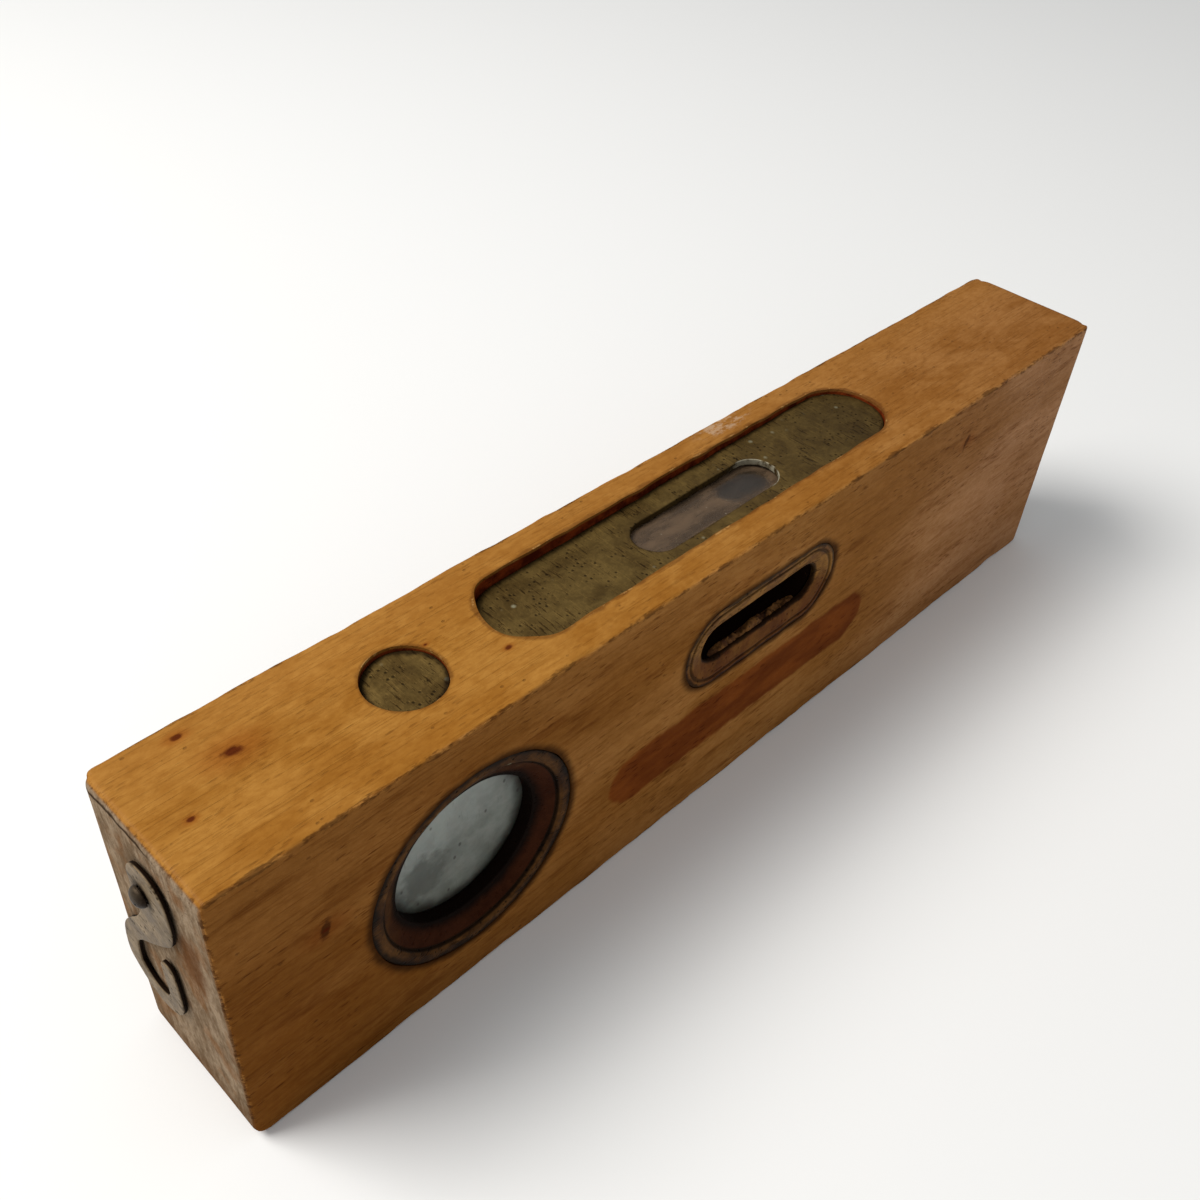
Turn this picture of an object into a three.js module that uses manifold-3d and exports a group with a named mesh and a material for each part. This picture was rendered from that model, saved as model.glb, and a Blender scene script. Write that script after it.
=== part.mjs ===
// A wooden spirit level with two vials, in millimetres.
// Origin: the middle of the sole. +X runs to the plain end, -X to the end that carries the hook,
// -Y is the front and +Z is up.
import * as THREE from 'three';
import { mergeVertices } from 'three/addons/utils/BufferGeometryUtils.js';
import Module from 'manifold-3d';

const wasm = await Module();
wasm.setup();

// Driving dimensions.
const LENGTH = 200;
const HEIGHT = 53;
const THICKNESS = 26.4;
const CORNER_RADIUS = 3;
const EDGE_ROUNDING = 0.8;
const GAP = 0.3;

const RECESS_X = -1.8;
const RECESS_Y = 0.5;
const RECESS_LENGTH = 89;
const RECESS_WIDTH = 15.6;
const PLATE_DEPTH = 1.7;
const PLATE_THICKNESS = 1.1;
const SLOT_X = -0.65;
const SLOT_LENGTH = 31.6;
const SLOT_WIDTH = 7.9;
const SLOT_GLASS_LENGTH = 42;
const SLOT_GLASS_WIDTH = 12.4;
const SLOT_GLASS_THICKNESS = 1.4;

const MAIN_CHAMBER_LENGTH = 70;
const MAIN_CHAMBER_WIDTH = 13.4;
const MAIN_CHAMBER_FLOOR = 31;
const MAIN_VIAL_LENGTH = 60;
const MAIN_VIAL_RADIUS = 6;
const MAIN_VIAL_HEIGHT = 38.9;
const MAIN_BUBBLE_LENGTH = 11;
const MAIN_BUBBLE_WIDTH = 5.2;
const MAIN_BUBBLE_HEIGHT = 2.6;
const MAIN_BUBBLE_RISE = 2.9;
const MAIN_BUBBLE_TRAVEL = 18;

const SIDE_WINDOW_X = 1;
const SIDE_WINDOW_HEIGHT = 35.6;
const SIDE_BEZEL_LENGTH = 37.4;
const SIDE_BEZEL_WIDTH = 15.4;
const SIDE_BEZEL_THICKNESS = 1.6;
const SIDE_OPENING_LENGTH = 28.6;
const SIDE_OPENING_WIDTH = 7.1;
const SIDE_DISH_DEPTH = 0.6;
const SIDE_RIM = 0.8;

const PLUMB_X = -61.2;
const PLUMB_BORE_RADIUS = 6.15;
const PLUMB_BORE_FLOOR = 5;
const PLUG_RADIUS = 5.85;
const PLUG_DEPTH = 1;
const PLUG_THICKNESS = 2;
const PLUMB_VIAL_RADIUS = 5;
const PLUMB_VIAL_FOOT = 8;
const PLUMB_VIAL_TOP = 46;
const BED_CLEARANCE = 1.5;
const PLUMB_BUBBLE_RADIUS = 2.2;
const PLUMB_BUBBLE_LENGTH = 6.4;
const PLUMB_BUBBLE_REST = 39.4;

const ROUND_WINDOW_X = -60.2;
const ROUND_WINDOW_HEIGHT = 26.1;
const ROUND_BEZEL_RADIUS = 18.1;
const ROUND_BEZEL_DEPTH = 6.2;
const ROUND_STEP_RADIUS = 16;
const ROUND_OPENING_RADIUS = 12.6;
const ROUND_DISH_DEPTH = 2.35;
const ROUND_LIP_THICKNESS = 2.3;
const ROUND_PANE_RADIUS = 15;
const ROUND_PANE_THICKNESS = 1.3;

const GLASS_WALL = 1.2;
const VIAL_BARREL = 0.25;
const VIAL_FOOT = 1.6;
const SEAL_LENGTH = 3;

const PIN_HEIGHT = 43.3;
const PIN_RADIUS = 1;
const PIN_LENGTH = 14;
const PIN_HEAD_RADIUS = 1.6;
const PIN_HEAD_HEIGHT = 0.95;
const HOOK_THICKNESS = 0.9;
const HOOK_PLAY = 0.2;
const HOOK_EYE_RADIUS = 5.7;
const HOOK_HOLE_RADIUS = 1.35;
const HOOK_BOWL_Y = 4.65;
const HOOK_BOWL_DROP = 22.1;
const HOOK_BOWL_OUTER = 7.1;
const HOOK_BOWL_INNER = 3.9;

// Sizes that follow from them.
const FRONT = -THICKNESS / 2;
const RECESS_FLOOR = HEIGHT - PLATE_DEPTH - PLATE_THICKNESS;
const PLATE_LENGTH = RECESS_LENGTH - 2 * GAP;
const PLATE_WIDTH = RECESS_WIDTH - 2 * GAP;
const MAIN_BORE_RADIUS = MAIN_VIAL_RADIUS - GLASS_WALL;
const PLUMB_VIAL_BORE = PLUMB_VIAL_RADIUS - GLASS_WALL;
const LEFT_END = -LENGTH / 2;

const ROUND_SEGMENTS = 40;
const VIAL_SEGMENTS = 16;
const ARC_SEGMENTS = 12;
const CORNER_SEGMENTS = 4;

const FINISHES = {
  wood: { color: 0xb87832, roughness: 0.55, metalness: 0 },
  brass: { color: 0x6e6034, roughness: 0.5, metalness: 0.8 },
  steel: { color: 0x5a554c, roughness: 0.55, metalness: 0.8 },
  milkyGlass: { color: 0xb9c0bf, roughness: 0.3, metalness: 0 },
  clearGlass: { color: 0xa8b8b0, roughness: 0.1, metalness: 0 },
  spirit: { color: 0xc8d48a, roughness: 0.1, metalness: 0 },
  air: { color: 0xf2f6f4, roughness: 0.1, metalness: 0 },
  plaster: { color: 0xcfc2a8, roughness: 0.95, metalness: 0 },
};

// Solids: a closed geometry becomes a manifold solid for cutting, and comes back as a geometry.
function solidOf(geometry) {
  const bare = geometry.clone();
  bare.deleteAttribute('normal');
  bare.deleteAttribute('uv');
  const merged = mergeVertices(bare, 1e-4);
  const corners = merged.index.array;
  const triVerts = [];
  for (let i = 0; i < corners.length; i += 3) {
    const [a, b, c] = corners.slice(i, i + 3);
    if (a !== b && b !== c && c !== a) {
      triVerts.push(a, b, c);
    }
  }
  return new wasm.Manifold(new wasm.Mesh({
    numProp: 3,
    vertProperties: merged.attributes.position.array,
    triVerts: Uint32Array.from(triVerts),
  }));
}

function geometryOf(solid) {
  const mesh = solid.getMesh();
  const geometry = new THREE.BufferGeometry();
  geometry.setAttribute('position', new THREE.BufferAttribute(mesh.vertProperties, 3));
  geometry.setIndex(new THREE.BufferAttribute(mesh.triVerts, 1));
  geometry.computeVertexNormals();
  return geometry;
}

function cut(geometry, ...cutters) {
  let solid = solidOf(geometry);
  for (const cutter of cutters) {
    solid = solid.subtract(solidOf(cutter));
  }
  return geometryOf(solid);
}

// Outlines.
function stadium(length, width) {
  const radius = width / 2;
  const middle = length / 2 - radius;
  const shape = new THREE.Shape();
  shape.moveTo(-middle, -radius);
  shape.lineTo(middle, -radius);
  shape.absarc(middle, 0, radius, -Math.PI / 2, Math.PI / 2);
  shape.lineTo(-middle, radius);
  shape.absarc(-middle, 0, radius, Math.PI / 2, 1.5 * Math.PI);
  return shape;
}

function roundedRectangle(width, height, radius) {
  const x = width / 2 - radius;
  const y = height / 2 - radius;
  const shape = new THREE.Shape();
  shape.absarc(x, -y, radius, -Math.PI / 2, 0);
  shape.absarc(x, y, radius, 0, Math.PI / 2);
  shape.absarc(-x, y, radius, Math.PI / 2, Math.PI);
  shape.absarc(-x, -y, radius, Math.PI, 1.5 * Math.PI);
  shape.closePath();
  return shape;
}

// A slab of an outline from one height to another along +Z.
function slab(shape, low, high, arcSegments = ARC_SEGMENTS) {
  const geometry = new THREE.ExtrudeGeometry(shape, {
    depth: high - low,
    bevelEnabled: false,
    curveSegments: arcSegments,
  });
  return geometry.translate(0, 0, low);
}

// A cylinder along +Z.
function rod(radius, low, high, segments = ROUND_SEGMENTS) {
  const geometry = new THREE.CylinderGeometry(radius, radius, high - low, segments);
  return geometry.rotateX(Math.PI / 2).translate(0, 0, (low + high) / 2);
}

// A turned solid about +Z, from [radius, height] points that run round the section anticlockwise.
function turned(points, segments = ROUND_SEGMENTS) {
  const profile = points.map(([radius, height]) => new THREE.Vector2(radius, height));
  return new THREE.LatheGeometry(profile, segments).rotateX(Math.PI / 2);
}

function box(width, depth, low, high) {
  return new THREE.BoxGeometry(width, depth, high - low).translate(0, 0, (low + high) / 2);
}

// Turns that carry a shape's own +Z to a side of the level.
const facingFront = (geometry) => geometry.rotateX(Math.PI / 2);
const alongX = (geometry) => geometry.rotateY(Math.PI / 2);
const facingLeft = (geometry) => geometry.rotateY(-Math.PI / 2);

function piece(name, geometry, finish) {
  const mesh = new THREE.Mesh(geometry, new THREE.MeshStandardMaterial(FINISHES[finish]));
  mesh.name = name;
  return mesh;
}

function assembly(...children) {
  const group = new THREE.Group();
  group.add(...children);
  return group;
}

// The wooden body: a block with softened edges, and every pocket and bore in it.
function woodenBody() {
  const outline = roundedRectangle(LENGTH, HEIGHT, CORNER_RADIUS);
  const block = facingFront(new THREE.ExtrudeGeometry(outline, {
    depth: THICKNESS - 2 * EDGE_ROUNDING,
    bevelThickness: EDGE_ROUNDING,
    bevelSize: EDGE_ROUNDING,
    bevelOffset: -EDGE_ROUNDING,
    bevelSegments: 2,
    curveSegments: CORNER_SEGMENTS,
  }));
  block.translate(0, THICKNESS / 2 - EDGE_ROUNDING, HEIGHT / 2);

  const plateRecess = slab(stadium(RECESS_LENGTH, RECESS_WIDTH), RECESS_FLOOR, HEIGHT + 1);
  plateRecess.translate(RECESS_X, RECESS_Y, 0);
  const chamberShape = stadium(MAIN_CHAMBER_LENGTH, MAIN_CHAMBER_WIDTH);
  const vialChamber = slab(chamberShape, MAIN_CHAMBER_FLOOR, RECESS_FLOOR + 1);
  const plumbBore = rod(PLUMB_BORE_RADIUS, PLUMB_BORE_FLOOR, HEIGHT + 1).translate(PLUMB_X, 0, 0);

  const reach = THICKNESS / 2 + 1;
  const bezelSeat = ROUND_BEZEL_DEPTH + GAP;
  const roundCutters = [
    rod(ROUND_BEZEL_RADIUS + GAP, THICKNESS / 2 - bezelSeat, reach),
    rod(ROUND_BEZEL_RADIUS + GAP, -reach, -THICKNESS / 2 + bezelSeat),
    rod(ROUND_OPENING_RADIUS + GAP, -reach, reach),
  ];
  for (const cutter of roundCutters) {
    facingFront(cutter).translate(ROUND_WINDOW_X, 0, ROUND_WINDOW_HEIGHT);
  }

  const sideSeat = SIDE_BEZEL_THICKNESS + GAP;
  const seatShape = stadium(SIDE_BEZEL_LENGTH + 2 * GAP, SIDE_BEZEL_WIDTH + 2 * GAP);
  const throughShape = stadium(SIDE_OPENING_LENGTH + 2 * GAP, SIDE_OPENING_WIDTH + 2 * GAP);
  const sideCutters = [
    slab(seatShape, THICKNESS / 2 - sideSeat, reach),
    slab(seatShape, -reach, -THICKNESS / 2 + sideSeat),
    slab(throughShape, -reach, reach),
  ];
  for (const cutter of sideCutters) {
    facingFront(cutter).translate(SIDE_WINDOW_X, 0, SIDE_WINDOW_HEIGHT);
  }

  const pinHole = facingLeft(rod(PIN_RADIUS + GAP, -PIN_LENGTH - 1, 1, VIAL_SEGMENTS));
  pinHole.translate(LEFT_END, 0, PIN_HEIGHT);

  const cutters = [plateRecess, vialChamber, plumbBore, ...roundCutters, ...sideCutters, pinHole];
  return piece('wooden_body', cut(block, ...cutters), 'wood');
}

// The brass plate in the top edge, and the glass cemented under its slot.
function topPlate() {
  const blank = slab(stadium(PLATE_LENGTH, PLATE_WIDTH), 0, PLATE_THICKNESS);
  blank.translate(RECESS_X, RECESS_Y, 0);
  const slot = slab(stadium(SLOT_LENGTH, SLOT_WIDTH), -1, PLATE_THICKNESS + 1);
  slot.translate(SLOT_X, 0, 0);
  const plate = piece('top_plate', cut(blank, slot), 'brass');
  const glassShape = roundedRectangle(SLOT_GLASS_LENGTH, SLOT_GLASS_WIDTH, 1);
  const cement = GAP / 2;
  const glass = slab(glassShape, -cement - SLOT_GLASS_THICKNESS, -cement, CORNER_SEGMENTS);
  glass.translate(SLOT_X, 0, 0);
  const group = assembly(plate, piece('slot_glass', glass, 'milkyGlass'));
  group.position.z = RECESS_FLOOR;
  return group;
}

// A glass tube along +Z from 0 to its length, closed and rounded at its foot, open at its head.
// Its bore is barrel-shaped: widest in the middle, so that a bubble rises to the middle.
function vialTube(radius, length) {
  const bore = radius - GLASS_WALL;
  const points = [[0, 0], [radius * 0.55, 0.2], [radius * 0.87, 1], [radius, 2.6], [radius, length]];
  points.push([bore, length]);
  const steps = 8;
  for (let i = 0; i <= steps; i += 1) {
    const along = 1 - i / steps;
    const height = VIAL_FOOT + 2 + (length - VIAL_FOOT - 6) * along;
    points.push([bore + VIAL_BARREL * Math.sin(Math.PI * along), height]);
  }
  points.push([bore * 0.85, VIAL_FOOT + 0.6], [bore * 0.5, VIAL_FOOT + 0.1], [0, VIAL_FOOT]);
  return turned(points, VIAL_SEGMENTS);
}

// The stopper that closes a tube's head.
function vialSeal(radius, length) {
  const fit = radius - GLASS_WALL - GAP;
  return rod(fit, length - SEAL_LENGTH, length - 0.4, VIAL_SEGMENTS);
}

// The main vial lies along X. Its spirit is cut away above, where the bubble runs.
function mainVial() {
  const spiritRadius = MAIN_BORE_RADIUS - GAP;
  const spiritLow = VIAL_FOOT + 2;
  const spiritHigh = MAIN_VIAL_LENGTH - SEAL_LENGTH - GAP;
  const column = rod(spiritRadius, spiritLow, spiritHigh, VIAL_SEGMENTS);
  const middle = MAIN_VIAL_LENGTH / 2;
  const lay = (geometry) => alongX(geometry.translate(0, 0, -middle));

  const runLength = 2 * MAIN_BUBBLE_TRAVEL + MAIN_BUBBLE_LENGTH + 2 * GAP;
  const runFloor = MAIN_BUBBLE_RISE - MAIN_BUBBLE_HEIGHT / 2 - GAP;
  const run = box(runLength, 3 * spiritRadius, runFloor, 2 * spiritRadius);
  const bubble = new THREE.SphereGeometry(0.5, VIAL_SEGMENTS, 8);
  bubble.scale(MAIN_BUBBLE_LENGTH, MAIN_BUBBLE_WIDTH, MAIN_BUBBLE_HEIGHT);
  bubble.translate(0, 0, MAIN_BUBBLE_RISE);

  const group = assembly(
    piece('main_vial_tube', lay(vialTube(MAIN_VIAL_RADIUS, MAIN_VIAL_LENGTH)), 'clearGlass'),
    piece('main_vial_seal', lay(vialSeal(MAIN_VIAL_RADIUS, MAIN_VIAL_LENGTH)), 'clearGlass'),
    piece('main_vial_spirit', cut(lay(column), run), 'spirit'),
    piece('main_vial_bubble', bubble, 'air'),
  );
  group.position.z = MAIN_VIAL_HEIGHT;
  return group;
}

// Plaster in the chamber: a block at each end of the main vial and a thin floor between them.
function mainVialBed() {
  const shape = stadium(MAIN_CHAMBER_LENGTH - 2 * GAP, MAIN_CHAMBER_WIDTH - 2 * GAP);
  const low = MAIN_CHAMBER_FLOOR + GAP;
  const middleTop = low + 2.2;
  const endTop = MAIN_VIAL_HEIGHT + 4;
  const middleLength = SLOT_GLASS_LENGTH;
  const opening = box(middleLength, MAIN_CHAMBER_WIDTH + 1, middleTop, endTop + 1);
  const reach = MAIN_VIAL_LENGTH / 2 + GAP;
  const vialSpace = alongX(rod(MAIN_VIAL_RADIUS + GAP, -reach, reach, VIAL_SEGMENTS));
  vialSpace.translate(0, 0, MAIN_VIAL_HEIGHT);
  return piece('main_vial_bed', cut(slab(shape, low, endTop), opening, vialSpace), 'plaster');
}

// The plumb vial stands square to the sole between two plaster beds, under its plug.
function plumbVial() {
  const length = PLUMB_VIAL_TOP - PLUMB_VIAL_FOOT;
  const lift = (geometry) => geometry.translate(0, 0, PLUMB_VIAL_FOOT);
  const spiritRadius = PLUMB_VIAL_BORE - GAP;
  const spiritLow = VIAL_FOOT + 1.2;
  const spiritHigh = length - SEAL_LENGTH - GAP;
  const run = PLUMB_BUBBLE_RADIUS + GAP;
  const spirit = turned([
    [0, spiritLow],
    [spiritRadius, spiritLow + 1],
    [spiritRadius, spiritHigh],
    [run, spiritHigh],
    [run, spiritLow + 2],
    [0, spiritLow + 1],
  ], VIAL_SEGMENTS);
  const bubble = new THREE.SphereGeometry(1, VIAL_SEGMENTS, 8).rotateX(Math.PI / 2);
  bubble.scale(PLUMB_BUBBLE_RADIUS, PLUMB_BUBBLE_RADIUS, PLUMB_BUBBLE_LENGTH / 2);
  bubble.translate(0, 0, PLUMB_BUBBLE_REST);

  const bedRadius = PLUMB_BORE_RADIUS - GAP;
  const spaceFoot = PLUMB_VIAL_FOOT - GAP;
  const spaceTop = PLUMB_VIAL_TOP + GAP;
  const vialSpace = rod(PLUMB_VIAL_RADIUS + GAP, spaceFoot, spaceTop, VIAL_SEGMENTS);
  const plugFloor = HEIGHT - PLUG_DEPTH - PLUG_THICKNESS;
  const lowerBedTop = ROUND_WINDOW_HEIGHT - ROUND_OPENING_RADIUS - BED_CLEARANCE;
  const upperBedFoot = ROUND_WINDOW_HEIGHT + ROUND_OPENING_RADIUS + BED_CLEARANCE;
  const lowerBed = cut(rod(bedRadius, PLUMB_BORE_FLOOR + GAP, lowerBedTop), vialSpace);
  const upperBed = cut(rod(bedRadius, upperBedFoot, plugFloor - GAP), vialSpace);
  const plug = turned([
    [0, plugFloor],
    [PLUG_RADIUS, plugFloor],
    [PLUG_RADIUS, plugFloor + PLUG_THICKNESS - 0.25],
    [PLUG_RADIUS - 0.25, plugFloor + PLUG_THICKNESS],
    [0, plugFloor + PLUG_THICKNESS],
  ]);

  const group = assembly(
    piece('plumb_plug', plug, 'brass'),
    piece('plumb_bed_upper', upperBed, 'plaster'),
    piece('plumb_bed_lower', lowerBed, 'plaster'),
    piece('plumb_vial_tube', lift(vialTube(PLUMB_VIAL_RADIUS, length)), 'clearGlass'),
    piece('plumb_vial_seal', lift(vialSeal(PLUMB_VIAL_RADIUS, length)), 'clearGlass'),
    piece('plumb_vial_spirit', lift(spirit), 'spirit'),
    piece('plumb_vial_bubble', bubble, 'air'),
  );
  group.position.x = PLUMB_X;
  return group;
}

// A round window: a dished brass bezel with a pane behind its lip. +Z points out of the wood.
function roundWindow(side) {
  const lipBack = ROUND_DISH_DEPTH + ROUND_LIP_THICKNESS;
  const seatRadius = ROUND_PANE_RADIUS + GAP;
  const bezel = turned([
    [seatRadius, -ROUND_BEZEL_DEPTH],
    [ROUND_BEZEL_RADIUS, -ROUND_BEZEL_DEPTH],
    [ROUND_BEZEL_RADIUS, -0.35],
    [ROUND_BEZEL_RADIUS - 0.3, -0.1],
    [ROUND_STEP_RADIUS + 0.7, -0.2],
    [ROUND_STEP_RADIUS, -0.45],
    [ROUND_STEP_RADIUS - 0.2, -0.85],
    [ROUND_OPENING_RADIUS + 0.3, -ROUND_DISH_DEPTH + 0.1],
    [ROUND_OPENING_RADIUS, -ROUND_DISH_DEPTH],
    [ROUND_OPENING_RADIUS, -lipBack],
    [seatRadius, -lipBack],
    [seatRadius, -ROUND_BEZEL_DEPTH],
  ]);
  const paneFace = -lipBack - GAP / 2;
  const pane = rod(ROUND_PANE_RADIUS, paneFace - ROUND_PANE_THICKNESS, paneFace);
  return assembly(
    piece(`round_bezel_${side}`, bezel, 'brass'),
    piece(`round_pane_${side}`, pane, 'milkyGlass'),
  );
}

// A side window: a brass frame whose face slopes in from a narrow rim to its opening.
function sideWindow(side) {
  const opening = stadium(SIDE_OPENING_LENGTH, SIDE_OPENING_WIDTH);
  const slope = new THREE.ExtrudeGeometry(opening, {
    depth: 1,
    bevelThickness: SIDE_DISH_DEPTH,
    bevelSize: (SIDE_BEZEL_WIDTH - SIDE_OPENING_WIDTH) / 2 - SIDE_RIM,
    bevelSegments: 1,
    curveSegments: ARC_SEGMENTS,
  });
  const frame = slab(stadium(SIDE_BEZEL_LENGTH, SIDE_BEZEL_WIDTH), -SIDE_BEZEL_THICKNESS, 0);
  const through = slab(opening, -SIDE_BEZEL_THICKNESS - 1, 1);
  return piece(`side_bezel_${side}`, cut(frame, slope, through), 'brass');
}

// Sets a window in the front or the back face.
function setWindow(window, side, x, height) {
  const turn = side === 'front' ? 0 : Math.PI;
  window.rotation.set(Math.PI / 2, 0, turn, 'ZYX');
  window.position.set(x, side === 'front' ? FRONT : -FRONT, height);
  return window;
}

// The hanging hook: a flat J with a round eye, hanging from its pin on the left end.
function hookOutline() {
  const bowl = new THREE.Vector2(HOOK_BOWL_Y, -HOOK_BOWL_DROP);
  const tipRadius = (HOOK_BOWL_OUTER - HOOK_BOWL_INNER) / 2;
  const tipY = bowl.x - HOOK_BOWL_INNER - tipRadius;
  const tipHeight = bowl.y + 6.6;
  const backOuter = bowl.x + HOOK_BOWL_OUTER;
  const backInner = bowl.x + HOOK_BOWL_INNER;
  const shape = new THREE.Shape();
  shape.absarc(0, 0, HOOK_EYE_RADIUS, 0, 1.17 * Math.PI);
  shape.quadraticCurveTo(1.5, -9, 4.7, -13.7);
  shape.quadraticCurveTo(backInner - 0.4, -16.2, backInner, bowl.y + 3);
  shape.lineTo(backInner, bowl.y);
  shape.absarc(bowl.x, bowl.y, HOOK_BOWL_INNER, 0, Math.PI, true);
  shape.lineTo(tipY + tipRadius, tipHeight);
  shape.absarc(tipY, tipHeight, tipRadius, 0, Math.PI);
  shape.lineTo(tipY - tipRadius, bowl.y);
  shape.absarc(bowl.x, bowl.y, HOOK_BOWL_OUTER, Math.PI, 2 * Math.PI);
  shape.quadraticCurveTo(backOuter + 0.2, -10.5, HOOK_EYE_RADIUS, 0);
  return shape;
}

function hanger() {
  const shape = hookOutline();
  const eye = new THREE.Path();
  eye.absarc(0, 0, HOOK_HOLE_RADIUS, 0, 2 * Math.PI);
  shape.holes.push(eye);
  const standing = new THREE.Matrix4().makeBasis(
    new THREE.Vector3(0, 1, 0),
    new THREE.Vector3(0, 0, 1),
    new THREE.Vector3(1, 0, 0),
  );
  const hook = slab(shape, -HOOK_PLAY - HOOK_THICKNESS, -HOOK_PLAY).applyMatrix4(standing);
  const headFloor = HOOK_THICKNESS + 2 * HOOK_PLAY;
  const pin = facingLeft(turned([
    [0, -PIN_LENGTH],
    [PIN_RADIUS * 0.4, -PIN_LENGTH + 1.2],
    [PIN_RADIUS, -PIN_LENGTH + 3],
    [PIN_RADIUS, headFloor],
    [PIN_HEAD_RADIUS, headFloor],
    [PIN_HEAD_RADIUS * 0.95, headFloor + PIN_HEAD_HEIGHT * 0.4],
    [PIN_HEAD_RADIUS * 0.6, headFloor + PIN_HEAD_HEIGHT * 0.85],
    [0, headFloor + PIN_HEAD_HEIGHT],
  ], VIAL_SEGMENTS));
  const group = assembly(piece('hanging_hook', hook, 'steel'), piece('hook_pin', pin, 'steel'));
  group.position.set(LEFT_END, 0, PIN_HEIGHT);
  return group;
}

const windows = ['front', 'back'].flatMap((side) => [
  setWindow(roundWindow(side), side, ROUND_WINDOW_X, ROUND_WINDOW_HEIGHT),
  setWindow(sideWindow(side), side, SIDE_WINDOW_X, SIDE_WINDOW_HEIGHT),
]);

const spiritLevel = assembly(
  woodenBody(),
  topPlate(),
  mainVial(),
  mainVialBed(),
  plumbVial(),
  ...windows,
  hanger(),
);

export default spiritLevel;
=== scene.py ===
"""A small wooden spirit level: a varnished body with a sunk brass plate and plug, brass bezels,
two vials, and a steel hook on its left end."""
import math

import bpy
import numpy as np
from mathutils import Matrix, Vector


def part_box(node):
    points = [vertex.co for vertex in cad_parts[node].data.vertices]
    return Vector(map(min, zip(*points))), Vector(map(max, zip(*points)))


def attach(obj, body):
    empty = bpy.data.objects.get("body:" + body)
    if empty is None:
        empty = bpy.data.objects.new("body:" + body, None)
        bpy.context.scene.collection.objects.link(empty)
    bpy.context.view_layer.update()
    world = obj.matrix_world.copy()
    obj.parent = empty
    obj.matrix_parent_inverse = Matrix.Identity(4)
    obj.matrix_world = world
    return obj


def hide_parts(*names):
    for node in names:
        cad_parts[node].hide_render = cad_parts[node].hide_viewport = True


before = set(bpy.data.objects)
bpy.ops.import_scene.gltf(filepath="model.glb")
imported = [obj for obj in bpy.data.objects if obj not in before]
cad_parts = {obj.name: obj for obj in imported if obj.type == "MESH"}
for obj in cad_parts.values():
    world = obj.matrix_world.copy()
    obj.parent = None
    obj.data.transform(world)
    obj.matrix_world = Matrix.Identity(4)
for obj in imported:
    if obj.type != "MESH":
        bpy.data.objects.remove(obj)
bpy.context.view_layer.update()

MM = 0.001

# The spacing of the block's grid, and the turn in degrees past which an edge is sharp.
GRID_STEP = 1.25
SHARP_ANGLE = 40


# ---------------------------------------------------------------- places, read from the frame, in millimetres

def node_box(node):
    low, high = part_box(node)
    return np.array(low) / MM, np.array(high) / MM


BODY_LOW, BODY_HIGH = node_box("wooden_body")
PLATE_LOW, PLATE_HIGH = node_box("top_plate")
GLASS_LOW, GLASS_HIGH = node_box("slot_glass")
PLUG_LOW, PLUG_HIGH = node_box("plumb_plug")
ROUND_LOW, ROUND_HIGH = node_box("round_bezel_front")
SIDE_LOW, SIDE_HIGH = node_box("side_bezel_front")
MAIN_LOW, MAIN_HIGH = node_box("main_vial_tube")
BED_LOW, BED_HIGH = node_box("main_vial_bed")
PLUMB_LOW, PLUMB_HIGH = node_box("plumb_vial_tube")
HOOK_LOW, HOOK_HIGH = node_box("hanging_hook")
PIN_LOW, PIN_HIGH = node_box("hook_pin")

BODY_SIZE = BODY_HIGH - BODY_LOW
BODY_MIDDLE = (BODY_LOW + BODY_HIGH) / 2
FRONT_Y, BACK_Y = BODY_LOW[1], BODY_HIGH[1]
TOP_Z = BODY_HIGH[2]
LEFT_X, RIGHT_X = BODY_LOW[0], BODY_HIGH[0]
PLATE_X, PLATE_Y = ((PLATE_LOW + PLATE_HIGH) / 2)[:2]
PLATE_SIZE = (PLATE_HIGH - PLATE_LOW)[:2]
SLOT_X = (GLASS_LOW[0] + GLASS_HIGH[0]) / 2
PLUMB_X = (PLUG_LOW[0] + PLUG_HIGH[0]) / 2
PLUG_RADIUS = (PLUG_HIGH[0] - PLUG_LOW[0]) / 2
ROUND_X = (ROUND_LOW[0] + ROUND_HIGH[0]) / 2
ROUND_Z = (ROUND_LOW[2] + ROUND_HIGH[2]) / 2
ROUND_RADIUS = (ROUND_HIGH[0] - ROUND_LOW[0]) / 2
ROUND_DEPTH = ROUND_HIGH[1] - FRONT_Y
SIDE_X = (SIDE_LOW[0] + SIDE_HIGH[0]) / 2
SIDE_Z = (SIDE_LOW[2] + SIDE_HIGH[2]) / 2
SIDE_OUTER = (SIDE_HIGH[0] - SIDE_LOW[0], SIDE_HIGH[2] - SIDE_LOW[2])
SIDE_DEPTH = SIDE_HIGH[1] - FRONT_Y
PIN_Z = (PIN_LOW[2] + PIN_HIGH[2]) / 2
PIN_HEAD = (PIN_HIGH[2] - PIN_LOW[2]) / 2
MAIN_Z = (MAIN_LOW[2] + MAIN_HIGH[2]) / 2
MAIN_RADIUS = (MAIN_HIGH[2] - MAIN_LOW[2]) / 2
PLUMB_RADIUS = (PLUMB_HIGH[0] - PLUMB_LOW[0]) / 2

# Sizes that no box gives: openings, hollows, roundings and bubbles.
FIT = 0.3
ROUND_OPENING = 12.6
ROUND_STEP = 16.0
ROUND_DISH = 2.35
ROUND_LIP = 4.65
SLOT = (31.6, 7.9)
SIDE_OPENING = (28.6, 7.1)
SIDE_DISH = 0.6
CHAMBER = (70.0, 13.4)
CHAMBER_FLOOR = 31.0
PLUMB_FLOOR = 5.0
CORNER_RADIUS = 3.0
HOOK_END_RADIUS = 1.3
GLASS_WALL = 1.2
BARREL = 0.25
MAIN_BUBBLE = (5.5, 3.2, 1.4)
PLUMB_BUBBLE = (3.3, 3.3, 3.2)

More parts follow.
